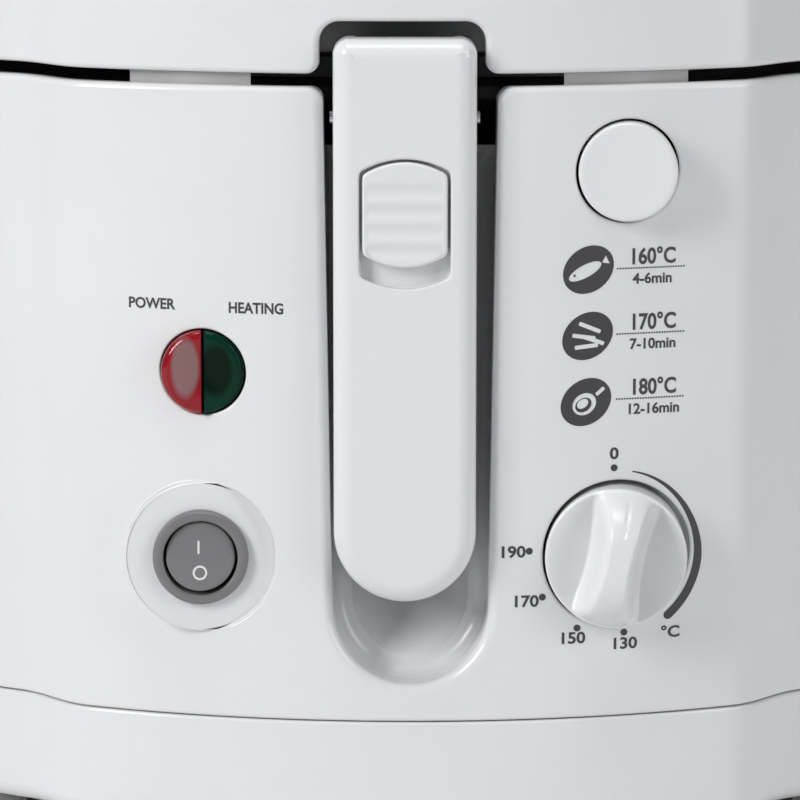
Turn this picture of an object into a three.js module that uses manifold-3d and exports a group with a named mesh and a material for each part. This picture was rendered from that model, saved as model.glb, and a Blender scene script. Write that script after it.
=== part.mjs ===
// A household deep fryer with a fold-down basket handle, in millimetres, +Z up, front towards -Y.
import * as THREE from "three";
import { mergeVertices } from "three/addons/utils/BufferGeometryUtils.js";
import Module from "manifold-3d";

const wasm = await Module();
wasm.setup();

// ---------------------------------------------------------------- driving dimensions
const gap = 0.3; // between pieces that touch
const wall = 2.8; // moulded plastic

// Plan of the body: bowed front and rear, straight sides, and a console that stands before the front.
const bodyWidth = 265;
const bodyDepth = 350; // console face to rear wall
const bowRadius = 209; // front and rear of the body
const cornerRadius = 66;
const consoleRadius = 196;
const consoleStep = 10; // console face before the body's own front
const consoleHalf = 78; // half the console's face
const consoleBlend = 97; // where its shoulder meets the body

// Heights.
const footHeight = 6;
const seamHeight = 34.4; // between base and housing
const housingTop = 187;
const lidGap = 3; // open seam under the lid
const lidHeight = 52;
const lidRim = 17; // upright part of the lid's side

// Handle recess in the console.
const recessTop = 41.2; // width at the top
const recessLow = 37.2; // width at the round end
const recessEnd = 43.5; // height of its lowest point
const recessDepth = 25;
const recessRamp = 52; // height over which its back runs out to the face
const recessWall = 2.5;
const sillHeight = 171; // lower edge of the window behind the handle

// Handle.
const handleX = -1.3; // it hangs slightly left of the middle
const handleWidth = 33.8;
const handleTop = 199.1;
const handleEnd = 64.4;
const handleProud = 6; // before the console's face
const handleDeep = 17;
const handleSkin = 3;
const pivotHeight = 179.5;
const pivotBehind = 11; // pivot axis behind the handle's face
const pinRadius = 1.5;
const notchX = -1.9; // the lid's notch
const notchWidth = 39.6;
const notchRise = 12.4; // above the lid's lower edge
const slotWidth = 21.4;
const slotTop = 170.7;
const slotEnd = 140;
const sliderWidth = 20;
const sliderHeight = 24.9;
const sliderTravel = 5;

// Controls on the console: place across, height, diameter.
const lamp = { x: -49.4, z: 118.5, across: 20.1 };
const rocker = { x: -50.2, z: 73.8, across: 17, bezel: 23, pad: 36.4 };
const button = { x: 51.5, z: 166.5, across: 23.6, proud: 3.5 };
const dial = { x: 49.2, z: 74, across: 34, proud: 4.3, turned: 11 };
const dialReach = 10; // grip of the dial before the console, the foremost point of all
const controlGap = 0.6; // round the dial and the button
const switchSeat = 5.5; // flat seat of the switch, behind the console's foremost line
const dialWell = 15; // floor of the dial's well, behind the same line

// Pot, basket and what hangs from the lid.
const potHalfWidth = 94;
const potHalfDepth = 128;
const potY = 10; // its centre, behind the body's
const potCorner = 72;
const potRim = 174.4;
const potFloor = 58;
const potSheet = 1.6;
const basketInset = 12;
const basketRim = 170.5;
const basketFloor = 72;
const basketSheet = 1;
const collarTop = 184.5;
const collarThick = 3;

// Lid hinge.
const hingeIn = 3; // its axis, in from the rear wall
const hingeRise = 6; // its axis, above the lid's edge
const hingeEar = 7; // radius
const hingeHalf = 42; // half the hinge's width
const hingePinRadius = 2;

// ---------------------------------------------------------------- solids and shapes
const fryer = new THREE.Group();

function solidOf(geometry) {
  const bare = geometry.index ? geometry.clone() : geometry;
  bare.deleteAttribute("normal");
  bare.deleteAttribute("uv");
  const merged = mergeVertices(bare, 1e-4);
  const index = merged.index.array;
  const place = merged.attributes.position.array;
  const triangles = [];
  let volume = 0;
  for (let i = 0; i < index.length; i += 3) {
    const [a, b, c] = [index[i], index[i + 1], index[i + 2]];
    if (a === b || b === c || a === c) continue;
    triangles.push(a, b, c);
    const [p, q, r] = [a, b, c].map((v) => new THREE.Vector3().fromArray(place, 3 * v));
    volume += p.dot(q.cross(r));
  }
  if (volume < 0) triangles.reverse();
  const mesh = new wasm.Mesh({
    numProp: 3,
    vertProperties: new Float32Array(place),
    triVerts: new Uint32Array(triangles),
  });
  return new wasm.Manifold(mesh);
}

function geometryOf(solid) {
  const mesh = solid.getMesh();
  const geometry = new THREE.BufferGeometry();
  geometry.setAttribute("position", new THREE.Float32BufferAttribute(mesh.vertProperties, 3));
  geometry.setIndex(Array.from(mesh.triVerts));
  geometry.computeVertexNormals();
  return geometry;
}

function piece(name, solid, material) {
  const mesh = new THREE.Mesh(geometryOf(solid), material);
  mesh.name = name;
  fryer.add(mesh);
}

const joined = (...solids) => solids.reduce((whole, next) => whole.add(next));

function box(x0, x1, y0, y1, z0, z1) {
  const geometry = new THREE.BoxGeometry(x1 - x0, y1 - y0, z1 - z0);
  return solidOf(geometry.translate((x0 + x1) / 2, (y0 + y1) / 2, (z0 + z1) / 2));
}

// A round bar between two places on one axis: along "x", "y" or "z".
function bar(axis, radius, from, to, a, b, sides = 14) {
  const geometry = new THREE.CylinderGeometry(radius, radius, to - from, sides);
  geometry.translate(0, (from + to) / 2, 0);
  const turn = {
    x: new THREE.Matrix4().set(0, 1, 0, 0, 1, 0, 0, a, 0, 0, -1, b, 0, 0, 0, 1),
    y: new THREE.Matrix4().set(1, 0, 0, a, 0, 1, 0, 0, 0, 0, 1, b, 0, 0, 0, 1),
    z: new THREE.Matrix4().set(1, 0, 0, a, 0, 0, -1, b, 0, 1, 0, 0, 0, 0, 0, 1),
  };
  return solidOf(geometry.applyMatrix4(turn[axis]));
}

// A shape drawn across (x, z), thickened from yFront back to yBack.
function facePlate(shape, yFront, yBack, curveSteps = 12) {
  const geometry = new THREE.ExtrudeGeometry(shape, {
    depth: yBack - yFront,
    bevelEnabled: false,
    curveSegments: curveSteps,
  });
  geometry.applyMatrix4(new THREE.Matrix4().set(1, 0, 0, 0, 0, 0, -1, yBack, 0, 1, 0, 0, 0, 0, 0, 1));
  return solidOf(geometry);
}

// A shape drawn across (y, z), thickened from x0 to x1.
function sidePlate(shape, x0, x1, curveSteps = 10) {
  const geometry = new THREE.ExtrudeGeometry(shape, {
    depth: x1 - x0,
    bevelEnabled: false,
    curveSegments: curveSteps,
  });
  geometry.applyMatrix4(new THREE.Matrix4().set(0, 0, 1, x0, 1, 0, 0, 0, 0, 1, 0, 0, 0, 0, 0, 1));
  return solidOf(geometry);
}

// A shape drawn in plan, thickened from z0 to z1.
function flatPlate(shape, z0, z1, curveSteps = 8) {
  const geometry = new THREE.ExtrudeGeometry(shape, {
    depth: z1 - z0,
    bevelEnabled: false,
    curveSegments: curveSteps,
  });
  return solidOf(geometry.translate(0, 0, z0));
}

function polygon(points) {
  return new THREE.Shape(points.map(([a, b]) => new THREE.Vector2(a, b)));
}

function roundedRect(x, y, width, height, radius) {
  const [w, h, r] = [width / 2, height / 2, radius];
  const shape = new THREE.Shape();
  shape.absarc(x + w - r, y - h + r, r, -Math.PI / 2, 0);
  shape.absarc(x + w - r, y + h - r, r, 0, Math.PI / 2);
  shape.absarc(x - w + r, y + h - r, r, Math.PI / 2, Math.PI);
  shape.absarc(x - w + r, y - h + r, r, Math.PI, 1.5 * Math.PI);
  return shape;
}

// Places along a closed plan curve, with the outward direction at each.
function planOf(shape, steps) {
  const places = shape.getPoints(steps);
  const plan = [];
  for (const place of places) {
    const last = plan.at(-1);
    if (!last || last.place.distanceTo(place) > 0.5) plan.push({ place });
  }
  if (plan[0].place.distanceTo(plan.at(-1).place) < 0.5) plan.pop();
  plan.forEach((point, i) => {
    const before = plan.at(i - 1).place;
    const after = plan[(i + 1) % plan.length].place;
    point.out = new THREE.Vector2(after.y - before.y, before.x - after.x).normalize();
  });
  return plan;
}

// A ring or cup whose section follows a plan. The section is closed, in (inset from the plan, height).
// An inset of `reach` is on the middle axis, and insets over `even` close in on it evenly.
const reach = 130;

function ringOn(plan, middleY, even, section) {
  const closed = section.at(0)[0] === reach ? section : [...section, section[0]];
  const points = closed.map(([inset, z]) => new THREE.Vector2(reach - inset, z));
  const geometry = new THREE.LatheGeometry(points, plan.length);
  const position = geometry.attributes.position;
  const middle = new THREE.Vector2(0, middleY);
  for (let v = 0; v < position.count; v++) {
    const { place, out } = plan[Math.floor(v / points.length) % plan.length];
    const [inset, z] = closed[v % points.length];
    const spot = place.clone().addScaledVector(out, -Math.min(inset, even));
    if (inset > even) spot.lerp(middle, (inset - even) / (reach - even));
    position.setXYZ(v, spot.x, spot.y, z);
  }
  return solidOf(geometry);
}

// ---------------------------------------------------------------- plan curves
const halfWidth = bodyWidth / 2;
const frontY = -bodyDepth / 2;
const rearY = bodyDepth / 2;
const bowFrontY = frontY + consoleStep + bowRadius; // centre of the front bow
const bowRearY = rearY - bowRadius;
const cornerX = halfWidth - cornerRadius;
const cornerOff = Math.sqrt((bowRadius - cornerRadius) ** 2 - cornerX ** 2);
const cornerTurn = Math.atan2(cornerX, cornerOff); // where bow and corner meet
const sideFront = bowFrontY - cornerOff; // ends of the straight sides
const sideRear = bowRearY + cornerOff;

const consoleFaceY = (x) => frontY + consoleRadius - Math.sqrt(consoleRadius ** 2 - x ** 2);
const bowFaceY = (x) => bowFrontY - Math.sqrt(bowRadius ** 2 - x ** 2);

function bodyShape() {
  const shape = new THREE.Shape();
  const shoulder = 9; // length of the blend's tangents
  const faceTurn = Math.asin(consoleHalf / consoleRadius);
  const bowTurn = Math.asin(consoleBlend / bowRadius);
  const [faceY, bowY] = [consoleFaceY(consoleHalf), bowFaceY(consoleBlend)];
  const lean = [Math.cos(faceTurn) * shoulder, Math.sin(faceTurn) * shoulder];
  const rest = [Math.cos(bowTurn) * shoulder, Math.sin(bowTurn) * shoulder];
  const up = -Math.PI / 2;
  shape.absarc(0, frontY + consoleRadius, consoleRadius, up - faceTurn, up + faceTurn);
  shape.bezierCurveTo(
    consoleHalf + lean[0], faceY + lean[1],
    consoleBlend - rest[0], bowY - rest[1],
    consoleBlend, bowY,
  );
  shape.absarc(cornerX, bowFrontY - cornerOff, cornerRadius, up + cornerTurn, 0);
  shape.absarc(cornerX, bowRearY + cornerOff, cornerRadius, 0, Math.PI / 2 - cornerTurn);
  shape.absarc(0, bowRearY, bowRadius, Math.PI / 2 - cornerTurn, Math.PI / 2 + cornerTurn);
  shape.absarc(-cornerX, bowRearY + cornerOff, cornerRadius, Math.PI / 2 + cornerTurn, Math.PI);
  shape.absarc(-cornerX, bowFrontY - cornerOff, cornerRadius, Math.PI, 1.5 * Math.PI - cornerTurn);
  shape.bezierCurveTo(
    -consoleBlend + rest[0], bowY - rest[1],
    -consoleHalf - lean[0], faceY + lean[1],
    -consoleHalf, faceY,
  );
  return shape;
}

const bodyPlan = planOf(bodyShape(), 3);
const potShape = (grow) =>
  roundedRect(0, potY, 2 * (potHalfWidth + grow), 2 * (potHalfDepth + grow), potCorner + grow);
const potPlan = planOf(potShape(0), 4);
const bodyEven = 6; // the console's shoulders bend too tightly for a deeper even inset
const potEven = 30;
const bodyRing = (section) => ringOn(bodyPlan, 0, bodyEven, section);
const potRing = (section) => ringOn(potPlan, potY, potEven, section);

// ---------------------------------------------------------------- materials
const paint = (color, roughness, metalness = 0) =>
  new THREE.MeshStandardMaterial({ color, roughness, metalness });
const white = paint(0xe9e9ea, 0.25);
const innerWhite = paint(0xd8d8d6, 0.5);
const grey = paint(0x74757a, 0.45);
const black = paint(0x1a1a1c, 0.6);
const rubber = paint(0x2a2a2c, 0.85);
const silicone = paint(0xb9bcbf, 0.7);
const steel = paint(0xb8bbbf, 0.3, 1);
const nonStick = paint(0x3c3d40, 0.4, 0.6);
const redLens = paint(0xb3202a, 0.15);
const greenLens = paint(0x0f4a34, 0.15);
const glass = paint(0xdfe8ea, 0.05);
const ceramic = paint(0xe6e2d6, 0.6);
const brown = paint(0x6b5238, 0.9);

// ---------------------------------------------------------------- housing
const lidEdge = housingTop + lidGap;
const lidTop = lidEdge + lidHeight;
const recessBackY = frontY + recessDepth;
const hingeY = rearY - hingeIn;
const hingeZ = lidEdge + hingeRise;

function recessOutline(grow) {
  const [top, low] = [recessTop / 2 + grow, recessLow / 2 + grow];
  const endZ = recessEnd + recessLow / 2;
  const shape = new THREE.Shape();
  shape.moveTo(top, housingTop + 20);
  shape.lineTo(-top, housingTop + 20);
  shape.lineTo(-low, endZ);
  shape.absarc(0, endZ, low, Math.PI, 2 * Math.PI);
  return shape;
}

// The recess seen from the side: its back is upright, then runs forward to the face at the low end.
function recessSide(grow) {
  const shape = new THREE.Shape();
  const [back, end] = [recessBackY + grow, recessEnd - grow];
  shape.moveTo(frontY - 20, housingTop + 20);
  shape.lineTo(frontY - 20, end);
  shape.lineTo(frontY, end);
  shape.quadraticCurveTo(back, end + 2, back, end + recessRamp);
  shape.lineTo(back, housingTop + 20);
  return shape;
}

function recess(grow) {
  const across = facePlate(recessOutline(grow), frontY - 25, recessBackY + 10, 6);
  return across.intersect(sidePlate(recessSide(grow), -recessTop, recessTop, 6));
}

const insideBody = (inset, z0, z1) => bodyRing([[reach, z0], [inset, z0], [inset, z1], [reach, z1]]);

const screwFrontY = sideFront + 22.6;
const screwRearY = sideRear - 12.6;
const screwCorners = [[-1, screwFrontY], [1, screwFrontY], [-1, screwRearY], [1, screwRearY]];
const screwPlaces = screwCorners.map(([side, y], i) => ({
  x: side * (halfWidth - wall - 8),
  y,
  name: `base_screw_${i + 1}`,
}));
const screwRadius = 1.9;
const bossRadius = 5;
const bossFoot = 41;
const bossHeight = 22;

function boss({ x, y }) {
  const post = bar("z", bossRadius, bossFoot, bossFoot + bossHeight, x, y);
  const edge = Math.sign(x) * (halfWidth - 1);
  const [near, far] = [Math.min(x, edge), Math.max(x, edge)];
  const rib = box(near, far, y - 1.5, y + 1.5, bossFoot, bossFoot + bossHeight);
  const bore = bar("z", screwRadius + gap, bossFoot - 1, bossFoot + bossHeight - 4, x, y);
  return joined(post, rib).subtract(bore);
}

const gripHeight = 150;
const gripWidth = 92;
const gripTall = 26;
const gripDeep = 17;

function sideGrip(side, grow) {
  const outline = roundedRect(0, gripHeight, gripWidth + 2 * grow, gripTall + 2 * grow, 11 + grow);
  const edges = [side * (halfWidth + 5), side * (halfWidth - gripDeep - grow)].sort((a, b) => a - b);
  return sidePlate(outline, edges[0], edges[1], 3);
}

const cordHeight = 55;
const cordHole = 7;

// Round holes with a tube behind each, a flat seat for the switch and a well for the dial.
function controlSeats(solid) {
  const round = (spot, radius, from, to) => bar("y", radius, from, to, spot.x, spot.z, 24);
  const cutTo = (spot, radius, depth) => round(spot, radius, frontY - 10, depth);
  const tube = (spot, radius, to) => round(spot, radius + 2, consoleFaceY(spot.x) + 2.6, to);
  return solid
    .add(round(rocker, rocker.pad / 2, seatY, seatY + 9))
    .add(tube(button, buttonHole, seatY + 9))
    .add(tube(lamp, lampHole, seatY + 9))
    .add(tube(dial, dialHole, wellY + wall))
    .subtract(cutTo(rocker, rocker.pad / 2, seatY))
    .subtract(cutTo(rocker, rocker.across / 2 + 1.5, seatY + 20))
    .subtract(cutTo(button, buttonHole, seatY + 20))
    .subtract(cutTo(lamp, lampHole, seatY + 20))
    .subtract(cutTo(dial, dialHole, wellY))
    .subtract(cutTo(dial, shaftRadius + 0.5, wellY + 10));
}

const seatY = frontY + switchSeat;
const wellY = frontY + dialWell;
const buttonHole = button.across / 2 + controlGap;
const dialHole = dial.across / 2 + controlGap;
const lampHole = lamp.across / 2 + gap;
const shaftRadius = 3;
const hookX = button.x;
const hookPivotY = frontY + 21.5;
const hookPivotZ = housingTop - 5.4;
const hookHalf = 5;
const hookPinRadius = 1.5;
const hookRibThick = 2;
const hookRibOut = hookHalf + 0.8;

function hookRibs() {
  const outline = polygon([
    [consoleFaceY(hookX + hookRibOut) + 1.5, hookPivotZ - 2.4],
    [hookPivotY + 3, hookPivotZ - 2.4],
    [hookPivotY + 4, hookPivotZ],
    [hookPivotY + 3, hookPivotZ + 2.6],
    [consoleFaceY(hookX - hookRibOut) + 1.5, hookPivotZ + 2.6],
  ]);
  const rib = (x) => sidePlate(outline, x, x + hookRibThick);
  return joined(rib(hookX - hookRibOut - hookRibThick), rib(hookX + hookRibOut));
}

function housing() {
  const bottom = seamHeight + gap / 2;
  const shell = bodyRing([
    [0, bottom], [0, housingTop - 1.6], [0.5, housingTop - 0.5], [1.6, housingTop],
    [wall, housingTop], [wall, bottom],
  ]);
  const inside = insideBody(1, bottom, housingTop - 2);
  const tray = recess(recessWall).intersect(inside);
  const grips = joined(sideGrip(-1, recessWall), sideGrip(1, recessWall)).intersect(inside);
  const half = recessTop / 2;
  const window = box(-half, half, recessBackY - 1, recessBackY + 10, sillHeight, housingTop);
  const bosses = joined(...screwPlaces.map(boss)).intersect(inside);
  let solid = joined(shell, tray, grips, bosses);
  solid = controlSeats(solid).add(hookRibs());
  return solid
    .subtract(recess(0))
    .subtract(window)
    .subtract(sideGrip(-1, 0))
    .subtract(sideGrip(1, 0))
    .subtract(bar("x", hookPinRadius + gap, hookX - 12, hookX + 12, hookPivotY, hookPivotZ))
    .subtract(bar("y", cordHole + gap, rearY - 20, rearY + 10, 0, cordHeight));
}

piece("housing", housing(), white);

// ---------------------------------------------------------------- rim collar with its two light bars
const collarInset = wall + gap;
const ledge = 6; // how far the pot's flange rests outside its wall
const spacerBars = [[-66.6, -37.7], [36.3, 66]];
const spacerInset = 3.4;
const spacerThick = 2.6;
const bracketHalf = handleWidth / 2 - 4.9;

function hingeEars(solid) {
  const ear = (x0, x1) => {
    const shape = new THREE.Shape();
    shape.moveTo(hingeY + hingeEar, collarTop - 2);
    shape.absarc(hingeY, hingeZ, hingeEar, 0, Math.PI);
    shape.lineTo(hingeY - hingeEar - 12, collarTop - 2);
    return sidePlate(shape, x0, x1);
  };
  const inner = insideBody(collarInset, collarTop - 3, housingTop + 2);
  const above = box(-halfWidth, halfWidth, 0, bodyDepth, housingTop + gap, hingeZ + 20);
  const room = inner.add(above);
  const earThick = 8;
  return solid
    .add(ear(-hingeHalf, -hingeHalf + earThick).intersect(room))
    .add(ear(hingeHalf - earThick, hingeHalf).intersect(room))
    .subtract(bar("x", hingePinRadius + gap, -hingeHalf + 2, hingeHalf - 2, hingeY, hingeZ));
}

function rimCollar() {
  const plateShape = roundedRect(0, 0, 4 * bodyWidth, 4 * bodyDepth, 5);
  plateShape.holes.push(potShape(gap + ledge));
  const plate = flatPlate(plateShape, collarTop - collarThick, collarTop);
  const top = plate.intersect(insideBody(collarInset, collarTop - 10, collarTop + 10));
  const seat = potRing([
    [-ledge - gap, collarTop], [-ledge - gap - 2.5, collarTop], [-ledge - gap - 2.5, potRim - 2.5],
    [-gap, potRim - 2.5], [-gap, potRim - gap], [-ledge - gap, potRim - gap],
  ]);
  const stand = bodyRing([
    [spacerInset, collarTop - 1], [spacerInset, lidEdge - gap],
    [spacerInset + spacerThick, lidEdge - gap], [spacerInset + spacerThick, collarTop - 1],
  ]);
  const bars = spacerBars.map(([x0, x1]) => stand.intersect(box(x0, x1, -bodyDepth, 0, 0, lidTop)));
  const trayRoom = box(
    -recessTop / 2 - recessWall - gap, recessTop / 2 + recessWall + gap,
    -bodyDepth, recessBackY + recessWall + gap, 0, lidTop,
  );
  const armRoom = box(
    handleX - bracketHalf - 1.5, handleX + bracketHalf + 1.5,
    -bodyDepth, potY - potHalfDepth + 8, potRim + 0.6, lidTop,
  );
  // The light bar crosses in front of the hook, above the ribs that hold its pin.
  const hookSwingFront = hookPivotY - 7;
  const hookRoom = joined(
    box(hookX - hookRibOut - 3, hookX + hookRibOut + 3, hookSwingFront, hookPivotY + 12, 0, lidTop),
    box(hookX - hookRibOut - 3, hookX + hookRibOut + 3, -bodyDepth, hookPivotY + 12, 0, collarTop + gap),
  );
  return hingeEars(joined(top, seat, ...bars))
    .subtract(trayRoom)
    .subtract(armRoom)
    .subtract(hookRoom.intersect(box(-bodyWidth, bodyWidth, -bodyDepth, 0, 0, lidEdge - 0.1)));
}

piece("rim_collar", rimCollar(), innerWhite);

// ---------------------------------------------------------------- base, feet and screws
const footRadius = 9;
const footSink = 2;
const footPlaces = [[-88, -118], [88, -118], [-88, 128], [88, 128]];
const footNames = ["foot_front_left", "foot_front_right", "foot_rear_left", "foot_rear_right"];
const baseFloor = footHeight + 3;

function base() {
  const top = seamHeight - gap / 2;
  let solid = bodyRing([
    [reach, footHeight], [6, footHeight], [1.8, footHeight + 1.4], [0, footHeight + 4.5], [0, top],
    [collarInset, top], [collarInset, top + 5], [collarInset + 2.2, top + 5],
    [collarInset + 2.2, baseFloor + 2], [collarInset + 4, baseFloor], [reach, baseFloor],
  ]);
  for (const [x, y] of footPlaces) {
    const pad = bar("z", footRadius + 2.5, baseFloor - 1, baseFloor + 1.5, x, y);
    const hole = bar("z", footRadius + gap, footHeight - 1, footHeight + footSink, x, y);
    solid = solid.add(pad).subtract(hole);
  }
  for (const { x, y } of screwPlaces) {
    const post = bar("z", bossRadius, baseFloor - 1, bossFoot - gap, x, y);
    const head = bar("z", 4.2, footHeight - 1, footHeight + 4, x, y);
    solid = solid.add(post).add(bar("z", 6.5, baseFloor - 1, footHeight + 7, x, y)).subtract(head);
    solid = solid.subtract(bar("z", screwRadius + gap, footHeight, bossFoot + 5, x, y));
  }
  const vent = (y) => box(-26, 26, y - 2, y + 2, footHeight - 1, baseFloor + 1);
  const vents = [-2, -1, 0, 1, 2].map((i) => vent(20 + 12 * i));
  return solid.subtract(joined(...vents));
}

piece("base", base(), white);

footPlaces.forEach(([x, y], i) => {
  piece(footNames[i], bar("z", footRadius, 0, footHeight + footSink - gap, x, y, 20), rubber);
});

for (const { name, x, y } of screwPlaces) {
  const head = bar("z", 3.7, footHeight + 1, footHeight + 4 - gap, x, y, 12);
  const shank = bar("z", screwRadius, footHeight + 3, bossFoot + bossHeight - 6, x, y, 10);
  piece(name, head.add(shank), steel);
}

function cordGland() {
  const collar = bar("y", 10, rearY + gap, rearY + 4, 0, cordHeight);
  const nose = bar("y", 6, rearY + 3, rearY + 10, 0, cordHeight);
  const body = bar("y", cordHole, rearY - 12, rearY + 2, 0, cordHeight);
  const nut = bar("y", 10, rearY - 12, rearY - wall - 2, 0, cordHeight);
  return joined(collar, nose, body, nut).subtract(bar("y", 3.4, rearY - 20, rearY + 20, 0, cordHeight));
}

piece("cord_gland", cordGland(), black);

// ---------------------------------------------------------------- lid
const lidWall = 3;
const linerBottom = 190;
const linerOut = 10; // liner outside the pot's wall
const windowSize = { width: 116, depth: 62, y: -42 };
const filterSize = { width: 116, depth: 74, y: 74 };
const hingeNotch = 206;

const shoulder = lidEdge + lidRim; // top of the lid's upright side
const underLid = shoulder + 21; // room for what stands under the lid's rim
const lidInner = [
  [reach, lidTop - lidWall], [62, lidTop - 2 - lidWall], [30, lidTop - 6 - lidWall],
  [16.6, shoulder + 21.2], [8.6, shoulder + 15.2], [4.6, shoulder + 7], [lidWall, shoulder],
  [lidWall, lidEdge],
];

function lidShell() {
  const outer = [
    [1.2, lidEdge], [0, lidEdge + 1.5], [0, shoulder], [1.6, shoulder + 8],
    [6, shoulder + 17], [15, shoulder + 24], [30, lidTop - 6], [62, lidTop - 2], [reach, lidTop],
  ];
  const notch = roundedRect(notchX, lidEdge - 20 + notchRise / 2, notchWidth, notchRise + 40, 5);
  const ears = box(-hingeHalf - 1, hingeHalf + 1, hingeY - 14, rearY + 5, lidEdge - 1, hingeNotch);
  return bodyRing([...outer, ...lidInner].reverse())
    .subtract(facePlate(notch, frontY - 5, frontY + 12))
    .subtract(ears);
}

function opening(size, grow, z0, z1) {
  const radius = 10 + grow;
  return flatPlate(roundedRect(0, size.y, size.width + 2 * grow, size.depth + 2 * grow, radius), z0, z1, 3);
}

const insertTop = lidTop - 1.2;
const insertThick = 3;
const frameWide = 6;

// Posts under the lid's roof, which the liner is screwed to.
const linerPosts = [[-76, -62], [76, -62], [-76, 96], [76, 96]];
const linerPostFoot = linerBottom + 2 + gap;

function lidWithOpenings() {
  let solid = lidShell();
  for (const [x, y] of linerPosts) {
    const post = bar("z", 4, linerPostFoot, lidTop - 5, x, y, 12);
    const bore = bar("z", screwRadius, linerPostFoot - 1, linerPostFoot + 14, x, y, 10);
    solid = solid.add(post).subtract(bore);
  }
  for (const size of [windowSize, filterSize]) {
    const well = opening(size, frameWide + 2.5, insertTop - insertThick - 3, lidTop - 1.5);
    solid = solid
      .add(well)
      .subtract(opening(size, frameWide + gap, insertTop - insertThick - gap, lidTop + 5))
      .subtract(opening(size, -1, insertTop - 20, lidTop + 5));
  }
  return solid;
}

piece("lid_shell", lidWithOpenings(), white);

function windowFrame() {
  const ring = opening(windowSize, frameWide, insertTop - insertThick, insertTop);
  return ring
    .subtract(opening(windowSize, -3, 0, lidTop))
    .subtract(opening(windowSize, 0, 0, insertTop - 1.2));
}

piece("window_frame", windowFrame(), grey);
const glassTop = insertTop - 1.2 - gap;
piece("window_glass", opening(windowSize, -gap, insertTop - insertThick + 0.2, glassTop), glass);

const slotCount = 6;

function filterCover() {
  let solid = opening(filterSize, frameWide, insertTop - insertThick, insertTop);
  const pitch = filterSize.depth / slotCount;
  for (let i = 0; i < slotCount; i++) {
    const y = filterSize.y - filterSize.depth / 2 + (i + 0.5) * pitch;
    const slot = roundedRect(0, y, filterSize.width - 16, 3.4, 1.6);
    solid = solid.subtract(flatPlate(slot, 0, lidTop, 2));
  }
  return solid;
}

piece("filter_cover", filterCover(), white);
const padTop = insertTop - insertThick - gap;
piece("filter_pad", opening(filterSize, -4, padTop - 9.7, padTop), black);

function lidLiner() {
  const out = -linerOut;
  const top = underLid;
  const tray = potRing([
    [reach, linerBottom], [out + 1, linerBottom], [out, linerBottom + 1], [out, top],
    [out + 1.6, top], [out + 1.6, linerBottom + 2], [reach, linerBottom + 2],
  ]);
  const view = opening(windowSize, -4, 0, lidTop);
  const steamSlot = (y) => box(-40, 40, y - 3, y + 3, 0, lidTop);
  const steam = [-1, 0, 1].map((i) => steamSlot(filterSize.y + 14 * i));
  const holes = linerPosts.map(([x, y]) => bar("z", screwRadius + gap, 0, lidTop - 20, x, y, 10));
  return tray.subtract(view).subtract(joined(...steam, ...holes));
}

piece("lid_liner", lidLiner(), steel);

linerPosts.forEach(([x, y], i) => {
  const head = bar("z", 3.4, linerBottom - gap - 2, linerBottom - gap, x, y, 12);
  const shank = bar("z", screwRadius - gap, linerBottom - 1, linerPostFoot + 12, x, y, 10);
  piece(`liner_screw_${i + 1}`, head.add(shank), steel);
});

const gasketTop = linerBottom - gap;
piece(
  "lid_gasket",
  potRing([
    [-9.5, collarTop + gap], [-9.5, gasketTop], [-2, gasketTop], [-2, gasketTop - 2],
    [-7, gasketTop - 2], [-7, collarTop + gap],
  ]),
  silicone,
);

// ---------------------------------------------------------------- lid hinge
const armHalf = hingeHalf - 9;

function hingeArm() {
  const knuckle = bar("x", hingeEar - 1, -armHalf, armHalf, hingeY, hingeZ);
  const reachY = potY + potHalfDepth + linerOut + 1;
  const leaf = box(-armHalf, armHalf, reachY, hingeY, hingeZ + 1, hingeZ + 4);
  const foot = box(-armHalf, armHalf, reachY, reachY + 3, hingeZ + 1, underLid - 4);
  return joined(knuckle, leaf, foot).subtract(
    bar("x", hingePinRadius + gap, -bodyWidth, bodyWidth, hingeY, hingeZ),
  ).subtract(box(-11, 11, hingeY - 9, hingeY + 9, hingeZ - 9, hingeZ + 9));
}

piece("hinge_arm", hingeArm(), innerWhite);
piece("hinge_pin", bar("x", hingePinRadius, -hingeHalf + 2.5, hingeHalf - 2.5, hingeY, hingeZ, 16), steel);

class Coil extends THREE.Curve {
  constructor(radius, pitch, turns) {
    super();
    Object.assign(this, { radius, pitch, turns });
  }
  getPoint(t, target = new THREE.Vector3()) {
    const angle = 2 * Math.PI * this.turns * t;
    return target.set(
      this.radius * Math.cos(angle), this.radius * Math.sin(angle), this.pitch * this.turns * t,
    );
  }
}

function coil(radius, wire, pitch, turns, matrix) {
  const ring = new THREE.Shape();
  ring.absarc(0, 0, wire, 0, 2 * Math.PI);
  const geometry = new THREE.ExtrudeGeometry(ring, {
    steps: turns * 8,
    curveSegments: 2,
    extrudePath: new Coil(radius, pitch, turns),
  });
  return solidOf(geometry.applyMatrix4(matrix));
}

const alongX = (x, y, z) => new THREE.Matrix4().set(0, 0, 1, x, 1, 0, 0, y, 0, 1, 0, z, 0, 0, 0, 1);
const alongY = (x, y, z) => new THREE.Matrix4().set(1, 0, 0, x, 0, 0, 1, y, 0, -1, 0, z, 0, 0, 0, 1);
const alongZ = (x, y, z) => new THREE.Matrix4().makeTranslation(x, y, z);
piece("lid_spring", coil(4.2, 0.8, 3, 6, alongX(-9, hingeY, hingeZ)), steel);

// ---------------------------------------------------------------- lid latch and release button
const strikerY = hookPivotY + 6.5; // face of the catch bar towards the hook
const hookNose = strikerY - 0.4;
const strikerTop = lidEdge + 4;

// The space under the lid's roof, less the gap that a piece in it keeps.
function lidRoom() {
  const room = lidInner.map(([inset, z]) => [inset === reach ? reach : inset + gap, z - gap]);
  return bodyRing([[reach, lidEdge - gap], ...room.reverse()]);
}

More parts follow.
